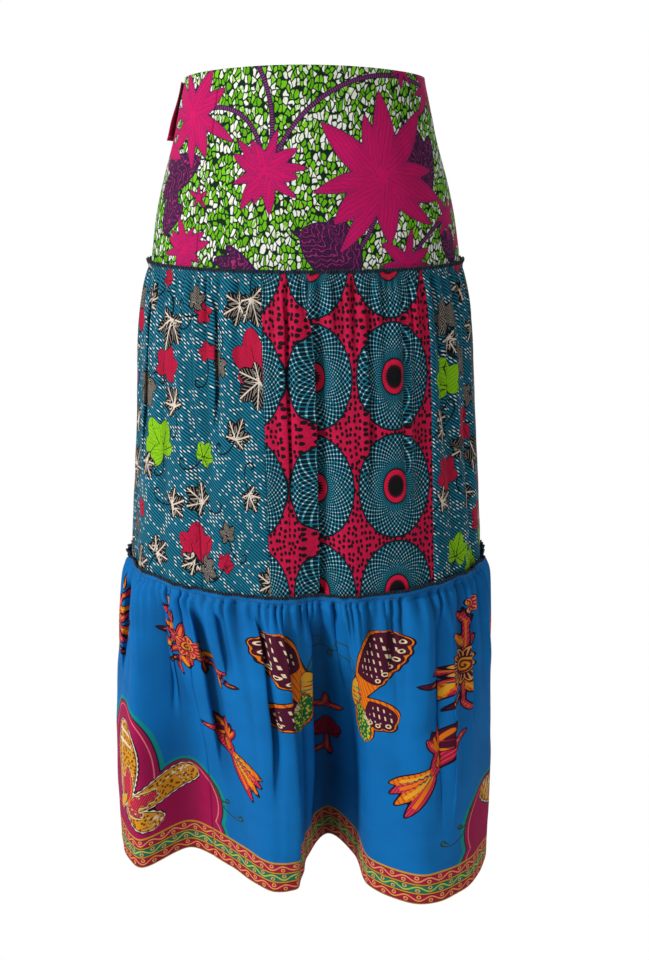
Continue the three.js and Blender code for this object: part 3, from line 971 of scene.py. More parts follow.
@dataclass(frozen=True)
class BorderPrint:
    """Butterflies, sprays, birds and winged medallions over a banded hem.

    Everything is built of petals and ovals. Positions are places round the cloth and up it.
    """

    layers: Layers = (
        ("ground", "under", "middle"),
        ("top", "feeler_side", "feeler_gap"),
        ("under_tone", "middle_tone", "top_tone"),
        ("dash", "dash", "dash"),
    )
    hem: float = -975.0
    period: float = 640.0
    butterflies: Rows = ((84, -716, 1), (-7, -714, -1))
    rose: Point = (30, -804)
    wing_root: Point = (4.0, -2.0)
    fore_wing: Petal = Petal(62, 102, 46, 0.0, 0.66)
    hind_wing: Petal = Petal(-24, 54, 38, 0.0, 0.62)
    tail_wing: Petal = Petal(-76, 56, 36, 0.0, 0.62)
    spray: tuple[LeafRow, ...] = (
        *twig(112, 64, 5), *twig(248, 46, 4), *twig(-48, 76, 6), *twig(178, 34, 3),
    )
    flower_spray: tuple[LeafRow, ...] = (*twig(82, 66, 5), *twig(262, 44, 4), *twig(206, 34, 3))
    bird: tuple[LeafRow, ...] = (
        (-6, 14, 140, 26, 7, Tone.CRIMSON),
        *fan(2, 6, 104, -18, 4, 42, (Tone.MAROON, Tone.CRIMSON)),
        *fan(9, -12, 284, 12, 4, 78, (Tone.CRIMSON, Tone.ORANGE)),
    )
    rose_leaves: tuple[LeafRow, ...] = (
        (0, -12, 268, 36, 5, Tone.CRIMSON),
        *fan(-2, 36, 18, 62, 3, 26, (Tone.CRIMSON,)),
        *fan(-1, -32, 200, 86, 2, 15, (Tone.CRIMSON,)),
    )
    ground: Rows = ((-62, 128, 42, 92), (2, 78, 40, 56), (-34, 40, 78, 44))
    wings: tuple[Petal, ...] = (
        Petal(88, 114, 42, 0.04, 0.62),
        Petal(26, 86, 34, 0.04, 0.62),
        Petal(-36, 48, 28, 0.04, 0.62),
    )

    def draw(self, canvas: Canvas) -> None:
        """Draws the motifs, again and again round the tier."""
        for turn in range(-1, 2):
            shift = turn * self.period
            self._medallion(canvas, -167 + shift, 1)
            self._medallion(canvas, 240 + shift, -1)
            for x, y, way in self.butterflies:
                self._butterfly(canvas, x + shift, y, way)
            self._leaves(canvas, -142 + shift, -658, 1, self.spray, 0.84)
            self._leaves(canvas, 199 + shift, -684, 1, self.flower_spray)
            self._bird(canvas, -113 + shift, -790, 1, 0.8)
            self._bird(canvas, 174 + shift, -784, -1, 0.88)
            self._leaves(canvas, self.rose[0] + shift, self.rose[1], 1, self.rose_leaves)
            self._bird(canvas, 306 + shift, -700, 1, 1.0)
            self._leaves(canvas, 374 + shift, -664, -1, self.spray, 0.9)

    @classmethod
    def spots(cls) -> list[Point]:
        """Returns the places of a butterfly's pale spots, from its own origin."""
        x, y = cls.wing_root
        fore = rim_spots(x, y, cls.fore_wing, 0.42, 0.93, 6)
        return fore + rim_spots(x, y, cls.hind_wing, 0.42, 0.92, 4)

    @staticmethod
    def _facing(petal: Petal, way: int) -> Petal:
        """Returns a petal, or its mirror image where way is -1."""
        turn = petal.turn if way > 0 else 180 - petal.turn
        return Petal(turn, petal.length, petal.width, way * petal.bend, petal.belly)

    @staticmethod
    def _leaves(
        canvas: Canvas, x: float, y: float, way: int, rows: tuple[LeafRow, ...], size: float = 1.0
    ) -> None:
        """Draws leaves with pale hearts.

        Args:
            canvas: The cloth.
            x: The motif's place round the cloth.
            y: Its place up the cloth.
            way: 1, or -1 for its mirror image.
            rows: A root, a turn, a length, a width and a tone for each leaf.
            size: How large it is drawn.
        """
        for dx, dy, turn, long, wide, tone in rows:
            dx, dy, long, wide = (size * part for part in (dx, dy, long, wide))
            at, u, v = canvas.near(x + way * dx, y + dy, 1.2 * long)
            if not len(at):
                continue
            petal = Petal(turn if way > 0 else 180 - turn, long, wide, way * 0.1, 0.45)
            shape, along, across = petal_field(u, v, x + way * dx, y + dy, petal)
            canvas.dye("under", at, shape, tone)
            rib = np.minimum(0.17 * wide - np.abs(across), 0.4 * (0.78 * long - along))
            rib = np.minimum(rib, 0.4 * (along - 0.14 * long))
            pale = Tone.GOLD if tone is Tone.ORANGE else Tone.ORANGE
            canvas.dye("top", at, np.minimum(rib, 1.4), pale)

    def _bird(self, canvas: Canvas, x: float, y: float, way: int, size: float) -> None:
        """Draws a bird with a raised wing and a long forked tail."""
        at, u, v = canvas.near(x, y, 60)
        if not len(at):
            return
        self._leaves(canvas, x, y, way, self.bird, size)
        for dx, dy, wide, high, lean in ((2, -4, 8, 15, 18), (-5, 12, 6, 7, 0)):
            dx, dy, wide, high = (size * part for part in (dx, dy, wide, high))
            shape = oval_field(u, v, x + way * dx, y + dy, wide, high, way * lean)
            canvas.dye("under", at, shape + 1.5, Tone.CRIMSON)
            heart = oval_field(u, v, x + way * dx, y + dy, 0.62 * wide, 0.66 * high, way * lean)
            canvas.dye("middle", at, heart, Tone.ORANGE)
        eye = oval_field(u, v, x - way * 6, y + 14, 1.6, 1.6, 0)
        canvas.dye("top", at, eye + 3, Tone.MAROON)

    def _butterfly(self, canvas: Canvas, x: float, y: float, way: int) -> None:
        """Draws a butterfly from the side, its wings raised."""
        at, u, v = canvas.near(x, y, 112)
        if not len(at):
            return
        root_x, root_y = x + way * self.wing_root[0], y + self.wing_root[1]
        for wing, filling in (
            (self.tail_wing, Tone.SCALED),
            (self.hind_wing, Tone.MAROON),
            (self.fore_wing, Tone.MAROON),
        ):
            shape, along, _ = petal_field(u, v, root_x, root_y, self._facing(wing, way))
            canvas.dye("under", at, shape, Tone.ORANGE)
            inner = shape - 3.2
            if filling is Tone.MAROON:
                inner = np.minimum(shape - 4.4, 0.6 * (along - 0.36 * wing.length))
                canvas.cover("dash", at, inner - 3.4)
            canvas.dye("middle", at, inner, filling)
        for px, py in self.spots():
            gap = np.hypot(u - x - way * px, v - y - py)
            canvas.dye("under", at, 6.6 - gap, Tone.ORANGE)
            canvas.dye("middle", at, 5.0 - gap, Tone.MAROON)
        body = oval_field(u, v, x + way * 2, y + 5, 12, 22, -way * 14)
        canvas.dye("under", at, body + 2, Tone.GOLD)
        for up, tone in ((-9, Tone.CRIMSON), (-2, Tone.GREEN), (5, Tone.CRIMSON), (12, Tone.GREEN)):
            belt = 1.4 - np.abs(v - y - up - 0.2 * way * (u - x))
            canvas.dye("top", at, np.minimum(belt, body - 0.4), tone)
        for lean in (8, 34):
            canvas.line("feeler", tendril(x + way * 2, y + 22, 90 + way * lean, way * 0.8, 16))

    def _medallion(self, canvas: Canvas, x: float, way: int) -> None:
        """Draws a winged medallion that rises from the border."""
        at, u, v = canvas.near(x, self.hem + 120, 150)
        if not len(at):
            return
        for px, py, wide, high in self.ground:
            oval = oval_field(u, v, x + way * px, self.hem + py, wide, high, 0)
            canvas.cover("ground", at, oval)
        root_x, root_y = x - way * 60, self.hem + 82
        for wing in self.wings:
            petal = self._facing(wing, way)
            shape, along, across = petal_field(u, v, root_x, root_y, petal)
            scallop = shape + 0.8 * np.cos(along * (TURN / 7.5))
            canvas.dye("under", at, scallop, Tone.CREAM)
            canvas.dye("middle", at, shape - 1.7, Tone.SPOTTED)
            tip = np.minimum(along - 0.7 * wing.length, shape - 3.6)
            bars = np.minimum(0.7 - np.abs(np.mod(along, 4.8) - 2.4), tip)
            canvas.dye("top", at, bars, Tone.CREAM)
            seam = np.minimum(0.9 - np.abs(way * across - 0.2 * wing.width), shape - 3)
            canvas.dye("top", at, seam, Tone.CREAM)
            inner = Petal(petal.turn, 0.52 * wing.length, 0.5 * wing.width, 0.0, 0.5)
            lobe, _, _ = petal_field(u, v, root_x + way * 3, root_y + 3, inner)
            canvas.dye("middle", at, np.where(lobe > 0, lobe + 9, FAR), Tone.CRIMSON)
            canvas.dye("top", at, 0.9 - np.abs(lobe - 2.6), Tone.ORANGE)
        body = Petal(58 if way > 0 else 122, 40, 12, 0.0, 0.4)
        shape, along, _ = petal_field(u, v, x - way * 76, self.hem + 68, body)
        canvas.dye("middle", at, np.where(shape > 0, shape + 14, FAR), Tone.GREEN)
        belts = np.minimum(0.9 - np.abs(np.mod(along, 6) - 3), shape - 1)
        canvas.dye("top", at, np.where(shape > 0.5, belts + 2, FAR), Tone.GOLD)
        for px, py, turn in ((34, 112, -84), (42, 84, -44)):
            curl = tendril(
                x + way * px, self.hem + py, turn if way > 0 else 180 - turn, way * 1.1, 8
            )
            canvas.line("feeler", curl)


# Materials
def placed(name: str, data: bpy.types.ID) -> bpy.types.Object:
    """Returns a new object in the scene for a mesh, curve, light or camera."""
    obj = bpy.data.objects.new(name, data)
    bpy.context.scene.collection.objects.link(obj)
    return obj


def grid_mesh(name: str, columns: int, rows_up: int, size: float) -> bpy.types.Mesh:
    """Returns a mesh of a flat square grid; size is half its side."""
    bm = bmesh.new()
    bmesh.ops.create_grid(bm, x_segments=columns, y_segments=rows_up, size=size, calc_uvs=False)
    mesh = bpy.data.meshes.new(name)
    bm.to_mesh(mesh)
    bm.free()
    return mesh


def ink(code: str) -> tuple[float, float, float, float]:
    """Returns the linear colour of a screen colour code such as #1b6f83."""
    parts = [int(code[i : i + 2], 16) / 255 for i in (1, 3, 5)]
    line = [p / 12.92 if p <= 0.04045 else ((p + 0.055) / 1.055) ** 2.4 for p in parts]
    return (line[0], line[1], line[2], 1.0)


def sums(operation: str) -> Callable[..., Value]:
    """Returns a method that adds one Math node of an operation."""

    def method(self: Value, *others: Value | float) -> Value:
        """Returns the node's result."""
        return self.math(operation, *others)

    return method


class Value:
    """A number on its way through a material: sums on it add Math nodes."""

    def __init__(self, bench: Bench, socket: Socket) -> None:
        """Wraps a socket of a bench's material."""
        self.bench = bench
        self.socket = socket

    def math(self, operation: str, *others: Value | float) -> Value:
        """Returns the result of one Math node on this number and others."""
        inputs = dict(enumerate((self, *others)))
        node = self.bench.node("ShaderNodeMath", {"operation": operation}, inputs)
        return Value(self.bench, node.outputs[0])

    def __rsub__(self, other: float) -> Value:
        """Takes this number away from another."""
        return (self * -1) + other

    __add__ = __radd__ = sums("ADD")
    __sub__ = sums("SUBTRACT")
    __mul__ = __rmul__ = sums("MULTIPLY")
    __truediv__ = sums("DIVIDE")
    __lt__ = sums("LESS_THAN")
    __abs__ = sums("ABSOLUTE")
    fract = sums("FRACT")
    floor = sums("FLOOR")
    sine = sums("SINE")
    least = sums("MINIMUM")
    most = sums("MAXIMUM")

    def step(self, start: float, end: float) -> Value:
        """Returns 0 before start and 1 after end, with a smooth way between them."""
        node = self.bench.node(
            "ShaderNodeMapRange",
            {"interpolation_type": "SMOOTHSTEP"},
            {"Value": self, "From Min": start, "From Max": end},
        )
        return Value(self.bench, node.outputs["Result"])

    def between(self, start: float, full: float, fade: float, end: float) -> Value:
        """Returns 1 from full to fade, and 0 before start and after end."""
        return self.step(start, full) * (1 - self.step(fade, end))


class Bench:
    """The nodes of one material."""

    def __init__(self, name: str) -> None:
        """Starts a material with one Principled shader."""
        self.material = bpy.data.materials.new(name)
        self.material.use_nodes = True
        self.tree = self.material.node_tree
        self.shader = self.tree.nodes["Principled BSDF"]

    def node(
        self,
        kind: str,
        settings: dict[str, Any] | None = None,
        sockets: dict[str | int, Any] | None = None,
    ) -> bpy.types.Node:
        """Makes any node.

        Args:
            kind: The node's type.
            settings: Its own settings, or a ramp's stops under "stops".
            sockets: Values or links of its inputs, by name or number.

        Returns:
            The node.
        """
        node = self.tree.nodes.new(kind)
        for key, value in (settings or {}).items():
            if key == "stops":
                self._stops(node.color_ramp, value)
            elif key == "interpolation":
                node.color_ramp.interpolation = value
            else:
                setattr(node, key, value)
        for key, value in (sockets or {}).items():
            target = node.inputs[key]
            value = ink(value) if isinstance(value, str) else value
            if isinstance(value, Value):
                self.tree.links.new(value.socket, target)
            elif isinstance(value, Socket):
                self.tree.links.new(value, target)
            else:
                target.default_value = value
        return node

    @staticmethod
    def _stops(ramp: bpy.types.ColorRamp, stops: list[tuple[float, Any]]) -> None:
        """Sets a ramp's stops, each a place and an ink's code."""
        while len(ramp.elements) < len(stops):
            ramp.elements.new(0.5)
        for element, (place, colour) in zip(ramp.elements, stops):
            element.position = place
            element.color = ink(colour)

    def cloth(self) -> tuple[Value, Value]:
        """Returns the cloth's coordinates round and up, in millimetres."""
        uv = self.node("ShaderNodeUVMap", {"uv_map": "cloth"})
        parts = self.node("ShaderNodeSeparateXYZ", sockets={0: uv.outputs[0]})
        return Value(self, parts.outputs[0]) * 1000, Value(self, parts.outputs[1]) * 1000

    def layers(self, name: str) -> tuple[Value, Value, Value]:
        """Returns the three numbers of one of the piece's print attributes."""
        attribute = self.node("ShaderNodeAttribute", {"attribute_name": name})
        parts = self.node("ShaderNodeSeparateXYZ", sockets={0: attribute.outputs["Vector"]})
        return tuple(Value(self, parts.outputs[i]) for i in range(3))

    def vector(self, x: Any, y: Any, z: Any = 0.0) -> Socket:
        """Returns a vector of three numbers."""
        return self.node("ShaderNodeCombineXYZ", sockets={0: x, 1: y, 2: z}).outputs[0]

    def mix(self, share: Any, first: Any, second: Any, blend: str = "MIX") -> Socket:
        """Returns a mix of two colours."""
        settings = {"data_type": "RGBA", "blend_type": blend}
        node = self.node("ShaderNodeMix", settings, {0: share, 6: first, 7: second})
        return node.outputs[2]

    def coats(self, colour: Any, *layers: tuple[Any, Any]) -> Socket:
        """Returns a colour with others laid over it in turn, each a share and a colour."""
        for share, over in layers:
            colour = self.mix(share, colour, over)
        return colour

    def noise(self, where: Any, scale: float, detail: float = 2.0) -> Value:
        """Returns a cloudy number from 0 to 1."""
        sockets = {"Vector": where, "Scale": scale, "Detail": detail}
        return Value(self, self.node("ShaderNodeTexNoise", sockets=sockets).outputs[0])

    def distance(self, where: Any, feature: str = "F1", chance: float = 1.0) -> Value:
        """Returns the distance that a Voronoi node of a feature gives."""
        return Value(self, self.cells(where, feature, chance).outputs["Distance"])

    def cells(self, where: Any, feature: str, chance: float = 1.0) -> bpy.types.Node:
        """Returns a Voronoi node of a feature."""
        return self.node(
            "ShaderNodeTexVoronoi",
            {"feature": feature, "voronoi_dimensions": "2D"},
            {"Vector": where, "Scale": 1.0, "Randomness": chance},
        )


@dataclass(frozen=True)
class Cotton:
    """Printed plain-weave cotton: its colour nodes, with painted shade in its folds, its weave and
    its slight sheen.
    """

    name: str
    roughness: float = 0.8
    sheen: float = 0.05
    weave: float = 0.55
    bound: bool = False

    def ground(self, bench: Bench, u: Value, v: Value) -> Socket:
        """Returns the cloth's colour. Each print has its own."""
        raise NotImplementedError

    def build(self) -> bpy.types.Material:
        """Makes the material."""
        bench = Bench(self.name)
        u, v = bench.cloth()
        colour = self.ground(bench, u, v)
        here = bench.vector(u, v)
        shade, way_down, _ = bench.layers("lie")
        if self.bound:
            ragged = way_down + bench.noise(here, 0.5) * 2.4 - 1.2
            colour = bench.mix(1 - ragged.step(3.2, 4.6), colour, "#14283c")
        cloud = bench.noise(here, 0.02, 3.0).step(0.25, 0.75)
        colour = bench.mix(cloud * 0.14, colour, "#0a1018", "MULTIPLY")
        # Painted shade: the colour is darkened where the cloth lies deep between its neighbours, in
        # folds, gathers and valleys
        colour = bench.mix(shade * 0.8, colour, "#0c1018", "MULTIPLY")
        thread = (u * (TURN / 0.9)).sine() * (v * (TURN / 0.9)).sine()
        slub = bench.noise(bench.vector(u * 0.25, v * 2.2), 1.0, 2.0)
        crumple = bench.noise(here, 0.045, 4.0)
        height = thread * 0.05 * self.weave + slub * 0.06 + crumple * 0.9
        normal = bench.node(
            "ShaderNodeBump",
            sockets={"Strength": 0.5, "Distance": 0.0016, "Height": height},
        )
        tree = bench.tree
        tree.links.new(colour, bench.shader.inputs["Base Color"])
        tree.links.new(normal.outputs[0], bench.shader.inputs["Normal"])
        rough = slub * 0.08 + (self.roughness - 0.04)
        tree.links.new(rough.socket, bench.shader.inputs["Roughness"])
        bench.shader.inputs["Sheen Weight"].default_value = self.sheen
        bench.shader.inputs["Sheen Roughness"].default_value = 0.4
        bench.shader.inputs["Specular IOR Level"].default_value = 0.16
        return bench.material


@dataclass(frozen=True)
class CrackleCotton(Cotton):
    """The yoke's print."""

    def ground(self, bench: Bench, u: Value, v: Value) -> Socket:
        """Returns the colour of the crackle, the stems, the leaves and the flowers."""
        bend = bench.noise(bench.vector(u / 9, v / 9), 1.0, 1.0) - 0.5
        where = bench.vector(u / 4.4 + bend * 1.6, v / 8.0 + bend * 1.1)
        edges = bench.distance(where, "DISTANCE_TO_EDGE")
        cell = bench.cells(where, "F1")
        parts = bench.node("ShaderNodeSeparateColor", sockets={0: cell.outputs["Color"]})
        pick = Value(bench, parts.outputs[0]) + (bench.noise(where, 1.9) - 0.5) * 0.7
        stops = [
            (0.0, "#5aa80c"), (0.34, "#72c414"), (0.54, "#84d01c"),
            (0.62, "#eef2e0"), (1.0, "#f6f8f0"),
        ]
        tint = bench.node("ShaderNodeValToRGB", {"stops": stops}, {0: pick})
        crack = 1 - (edges + (bench.noise(where, 1.3) - 0.5) * 0.2).step(0.09, 0.16)
        middle = Value(bench, cell.outputs["Distance"])
        crack = crack.most(middle.step(0.56, 0.64))
        colour = bench.mix(crack, tint.outputs[0], "#0a2414")
        flower, leaf, stem = bench.layers("print_a")
        along, across, way = bench.layers("print_b")
        leaf_along, leaf_across, _ = bench.layers("print_c")
        bead = (way * (TURN / 2.6)).sine().step(-0.1, 0.6) * stem.step(0.7, 1.3)
        stem_colour = bench.mix(bead, "#35123f", "#8e3f7c")
        colour = bench.mix(stem.step(-0.3, 0.3), colour, stem_colour)
        scribble = bench.noise(bench.vector(u / 8, v / 8), 1.0, 1.0) * 16
        veins = (leaf_along * 0.75 - abs(leaf_across) * 0.8 + scribble).sine()
        dots = bench.distance(bench.vector(u / 1.7, v / 1.7))
        mark = (veins.step(0.8, 0.96) + (1 - dots.step(0.1, 0.24)) * 0.5).least(1.0)
        leaf_colour = bench.mix(mark * leaf.step(1.6, 2.6), "#34133f", "#ac3070")
        colour = bench.mix(leaf.step(-0.4, 0.4), colour, leaf_colour)
        hatch = (along * 1.9 + abs(across) * 1.1).sine().step(0.0, 0.6)
        rim = 1 - flower.step(2.0, 6.5)
        swirl = (along * 0.3 + across * 1.35 + bench.noise(where, 0.5) * 8).sine()
        fine = (hatch * rim * 0.8).most(swirl.step(0.62, 0.9) * flower.step(1.4, 3.0) * 0.66)
        tone = bench.mix(bench.noise(where, 0.16), "#de0c6a", "#c40a58")
        flower_colour = bench.mix(fine, tone, "#7a1a60")
        flower_colour = bench.mix(1 - flower.step(0.3, 1.1), flower_colour, "#4a1846")
        return bench.mix(flower.step(-0.5, 0.1), colour, flower_colour)


@dataclass(frozen=True)
class LeafCotton(Cotton):
    """The print of the middle tier's outer panels."""

    def ground(self, bench: Bench, u: Value, v: Value) -> Socket:
        """Returns the colour of the twill lines, the vines and the leaves."""
        across = u * 0.53 + v * 0.848
        along = u * 0.848 - v * 0.53
        row = (across / 3.6).floor()
        line = (across / 3.6).fract()
        stripe = line.between(0.46, 0.56, 0.9, 1.0)
        colour = bench.mix(stripe, "#0b7c9a", "#03161f")
        number = along / 7.6 + row * 0.37
        dash = number.fract()
        chance = ((number.floor() * 12.9898 + row * 78.233).sine() * 43758.5453).fract()
        cloud = bench.noise(bench.vector(u / 26, v / 20), 1.0, 1.0) * 1.3 - 0.3
        white = dash.between(0.1, 0.18, 0.62, 0.74) * (1 - stripe)
        white = white * line.between(0.02, 0.1, 0.36, 0.46)
        white = white * (chance < cloud)
        colour = bench.mix(white, colour, "#e9f2ec")
        crimson, lime, black = bench.layers("print_a")
        way, side, dotted = bench.layers("print_b")
        vine_side, vine_gap, _ = bench.layers("print_c")
        vine = (1 - abs(vine_side).step(0.7, 1.2)) * (1 - vine_gap.step(2.2, 3.0))
        colour = bench.mix(vine, colour, "#05090d")
        rib = 1 - abs(side).step(0.3, 0.75)
        twigs = ((way - abs(side) * 1.3) / 6.4).fract()
        twigs = twigs.between(0.1, 0.16, 0.2, 0.26)
        for leaf, body, vein in (
            (crimson, "#c0103e", "#4a0818"),
            (lime, "#8ccc10", "#1c2c08"),
            (black, "#0a070a", "#e8d8c8"),
        ):
            marks = rib.most(twigs * leaf.step(0.9, 1.4) * 0.9)
            if leaf is black:
                specks = ((way * 2.5).sine() * (side * 2.9).sine()).step(0.3, 0.55)
                fingers = (1 - (abs(side) - 0.3).step(0.35, 0.8)).most(twigs * 0.8)
                marks = fingers * (1 - dotted) + specks * dotted * 0.8
            tint = bench.mix(marks * leaf.step(0.6, 1.2), body, vein)
            tint = bench.mix(1 - leaf.step(0.1, 0.6), tint, "#07070b")
            colour = bench.mix(leaf.step(-0.9, -0.4), colour, tint)
        return colour


@dataclass(frozen=True)
class DiscCotton(Cotton):
    """The print of the middle tier's centre panel."""

    pitch_u: float = 129.0
    pitch_v: float = 126.0
    shift_u: float = -54.5
    shift_v: float = -265.0
    radius: float = 62.0

    def ground(self, bench: Bench, u: Value, v: Value) -> Socket:
        """Returns the colour of the dotted ground and of the net discs."""
        x = (((u - self.shift_u) / self.pitch_u).fract() - 0.5) * self.pitch_u
        y = (((v - self.shift_v) / self.pitch_v).fract() - 0.5) * self.pitch_v
        radius = (x * x + y * y).math("SQRT")
        angle = y.math("ARCTAN2", x)
        place = bench.vector(u / 7.2, v / 7.6)
        dots = bench.distance(place, "F1", 0.62)
        edges = bench.distance(place, "DISTANCE_TO_EDGE")
        colour = bench.mix(1 - edges.step(0.02, 0.05), "#cf0f46", "#a80c3c")
        colour = bench.mix(1 - dots.step(0.29, 0.36), colour, "#1c0a14")
        ring = radius.math("LOGARITHM", math.e) * 24
        first = abs((angle * 24 + ring).sine())
        second = abs((angle * 24 - ring).sine())
        wire = 1 - (first.least(second)).step(0.3, 0.46)
        knot = 1 - (first.most(second)).step(0.34, 0.5)
        chance = bench.noise(bench.vector(u / 3.4, v / 3.4), 1.0, 1.0).step(0.42, 0.5)
        sparkle = knot * chance * radius.step(24, 36)
        thread = bench.mix(sparkle, "#14809a", "#f0f7f4")
        disc = bench.mix(wire.most(sparkle), "#03141c", thread)
        rays = (angle * 60).sine().step(-0.3, 0.5)
        inner = bench.mix(rays * radius.step(17, 25), "#06202c", "#1b8298")
        disc = bench.coats(
            disc,
            (1 - radius.step(25, 28), inner),
            (1 - radius.step(20.6, 21.4), "#04141c"),
            (1 - radius.step(18.8, 19.6), "#dc1440"),
        )
        notch = (angle * 26).sine() * 0.9
        disc = bench.mix(1 - (radius + notch).step(13.2, 14.0), disc, "#2a0c18")
        disc = bench.mix(1 - radius.step(10.0, 11.0), disc, "#0c0a10")
        rim = 1 - radius.step(self.radius - 0.6, self.radius + 0.2)
        disc = bench.mix(radius.step(self.radius - 2.6, self.radius - 1.8), disc, "#04121a")
        return bench.mix(rim, colour, disc)


@dataclass(frozen=True)
class BorderCotton(Cotton):
    """The bottom tier's print. Its blooms, spots and rose lie on the drawn motifs."""

    motifs: BorderPrint = BorderPrint()
    wave: float = 20.0
    blooms: tuple[tuple[float, float, float, str, str, int], ...] = (
        (-137, -661, 16, "#b81440", "#f08a3c", 7),
        (199, -684, 20, "#4e0c2c", "#f0a04c", 12),
        (216, -618, 13, "#c01848", "#f0a060", 6),
        (374, -660, 16, "#b81440", "#f08a3c", 7),
    )

    def ground(self, bench: Bench, u: Value, v: Value) -> Socket:
        """Returns the colour of the blue ground, the motifs and the banded hem."""
        here = bench.vector(u, v)
        cloud = bench.noise(here, 0.012, 3.0)
        colour = bench.mix(cloud, "#0064ac", "#007ac4")
        ground, under, middle = bench.layers("print_a")
        top, feeler_side, feeler_gap = bench.layers("print_b")
        under_tone, middle_tone, top_tone = bench.layers("print_c")
        dash, _, _ = bench.layers("print_d")
        colour = bench.coats(
            colour,
            (ground.step(-5.6, -5.0), "#08908c"),
            (ground.step(-1.6, -1.0), "#12102a"),
            (ground.step(-0.3, 0.3), "#a80f50"),
        )
        inline = ground.between(3.4, 3.8, 4.6, 5.0)
        colour = bench.mix(inline, colour, "#ee7c78")
        feeler = (1 - abs(feeler_side).step(0.6, 1.1)) * (1 - feeler_gap.step(2.4, 3.2))
        colour = bench.coats(
            colour,
            (feeler, "#2c4a1e"),
            (under.step(-1.7, -1.2), "#16081a"),
            (under.step(-0.2, 0.3), self._filling(bench, u, v, under_tone)),
            (middle.step(-0.8, -0.3), "#2a0a1c"),
            (middle.step(0.2, 0.6), self._filling(bench, u, v, middle_tone)),
        )
        strokes = ((u + v * 0.12) * (TURN / 5.4)).sine().step(0.55, 0.85)
        rows = ((v + u * 0.3) * (TURN / 10)).sine().step(-0.2, 0.2)
        colour = bench.mix(dash.step(0.5, 1.2) * strokes * rows, colour, "#f0dcb4")
        colour = bench.mix(top.step(-0.2, 0.3), colour, self._tones(bench, top_tone))
        for x, y, way in self.motifs.butterflies:
            colour = self._rings(bench, self._near(u, x) * way, v - y, colour)
        for x, y, size, code, line, count in self.blooms:
            colour = self._bloom(bench, self._near(u, x), v - y, colour, (size, code, line, count))
        x, y = self.motifs.rose
        return self._bands(bench, u, v, self._rose(bench, self._near(u, x), v - y, colour))

    def _near(self, u: Value, x: float) -> Value:
        """Returns the way round the cloth from a motif's nearest repeat."""
        period = self.motifs.period
        return (((u - x) / period + 0.5).fract() - 0.5) * period

    @staticmethod
    def _rings(bench: Bench, x: Value, y: Value, colour: Socket) -> Socket:
        """Lays a butterfly's pale spots over a colour."""
        place = bench.vector(x, y)
        nearest: Value | None = None
        for spot in BorderPrint.spots():
            node = bench.node(
                "ShaderNodeVectorMath", {"operation": "DISTANCE"}, {0: place, 1: (*spot, 0.0)}
            )
            gap = Value(bench, node.outputs["Value"])
            nearest = gap if nearest is None else nearest.least(gap)
        ring = nearest.between(1.3, 1.6, 2.6, 2.9)
        return bench.mix(ring, colour, "#f4dcae")

    @staticmethod
    def _bloom(
        bench: Bench,
        x: Value,
        y: Value,
        colour: Socket,
        look: tuple[float, str, str, int],
    ) -> Socket:
        """Lays a round flower over a colour.

        Args:
            bench: The material.
            x: The way round the cloth from its heart.
            y: The way up the cloth from its heart.
            colour: What it lies on.
            look: Its size, its petals' ink, their edge's ink and how many there are.

        Returns:
            The colour with the flower.
        """
        size, code, line, count = look
        way = (x * x + y * y).math("SQRT") / size
        turn = y.math("ARCTAN2", x) * (0.5 * count)
        lobe = abs(turn.sine())
        reach = way / (lobe * 0.3 + 0.78)
        rib = (1 - abs(turn.sine()).step(0.2, 0.34)).most(1 - (1 - lobe).step(0.02, 0.05))
        petal = bench.mix(rib * way.step(0.5, 0.56), code, line)
        petal = bench.mix(reach.step(0.84, 0.88), petal, line)
        colour = bench.mix(1 - reach.step(1.04, 1.08), colour, "#16081a")
        colour = bench.mix(1 - reach.step(0.93, 0.97), colour, petal)
        swirl = (way * 26 + y.math("ARCTAN2", x)).sine().step(-0.2, 0.3)
        heart = bench.mix(swirl, "#e89a24", "#7a1420")
        return bench.mix(1 - way.step(0.42, 0.46), colour, heart)

    @staticmethod
    def _rose(bench: Bench, x: Value, y: Value, colour: Socket) -> Socket:
        """Lays a crimson bloom of nested petals over a colour."""
        way = (x * x + y * y).math("SQRT")
        turn = y.math("ARCTAN2", x)
        edge = way - (turn * 5).sine() * 1.2
        folds = ((way + (turn * 3).sine() * 1.5 + turn * 0.9) * (TURN / 5.2)).sine()
        bloom = bench.mix(folds.step(0.5, 0.8), "#a80c34", "#3c0614")
        colour = bench.mix(1 - edge.step(16.4, 17.2), colour, "#2a0612")
        return bench.mix(1 - edge.step(14.8, 15.6), colour, bloom)

    @staticmethod
    def _tones(bench: Bench, tone: Value) -> Socket:
        """Returns the ink that a tone number stands for."""
        inks = (
            "#f07c0c", "#c01444", "#4e0c2c", "#08806c", "#eeac28", "#f4e6cc", "#e09a1c", "#0c7040",
        )
        stops = [(max(0.0, (i - 0.5) / 8), code) for i, code in enumerate(inks)]
        settings = {"interpolation": "CONSTANT", "stops": stops}
        return bench.node("ShaderNodeValToRGB", settings, {0: tone / 8}).outputs[0]

    def _filling(self, bench: Bench, u: Value, v: Value, tone: Value) -> Socket:
        """Returns a tone's ink with its stripes, spots or scales."""
        colour = self._tones(bench, tone)
        stripes = (u * 1.25 + v * 0.45).sine().step(0.55, 0.85) * (1 - tone.step(0.3, 0.5))
        colour = bench.mix(stripes * 0.8, colour, "#b23a10")
        place = bench.vector(u / 4.0, v / 5.2)
        spots = 1 - bench.distance(place).step(0.24, 0.36)
        spotted = tone.between(5.4, 5.6, 6.4, 6.6)
        colour = bench.mix(spots * spotted, colour, "#7c3a10")
        colour = bench.mix(spots * tone.step(6.4, 6.6), colour, "#d8c828")
        hatch = (u * 2.6 - v * 1.1).sine().step(0.6, 0.9) * tone.step(0.6, 0.8)
        hatch = hatch * (1 - tone.step(1.2, 1.4))
        return bench.mix(hatch * 0.6, colour, "#ec6c60")

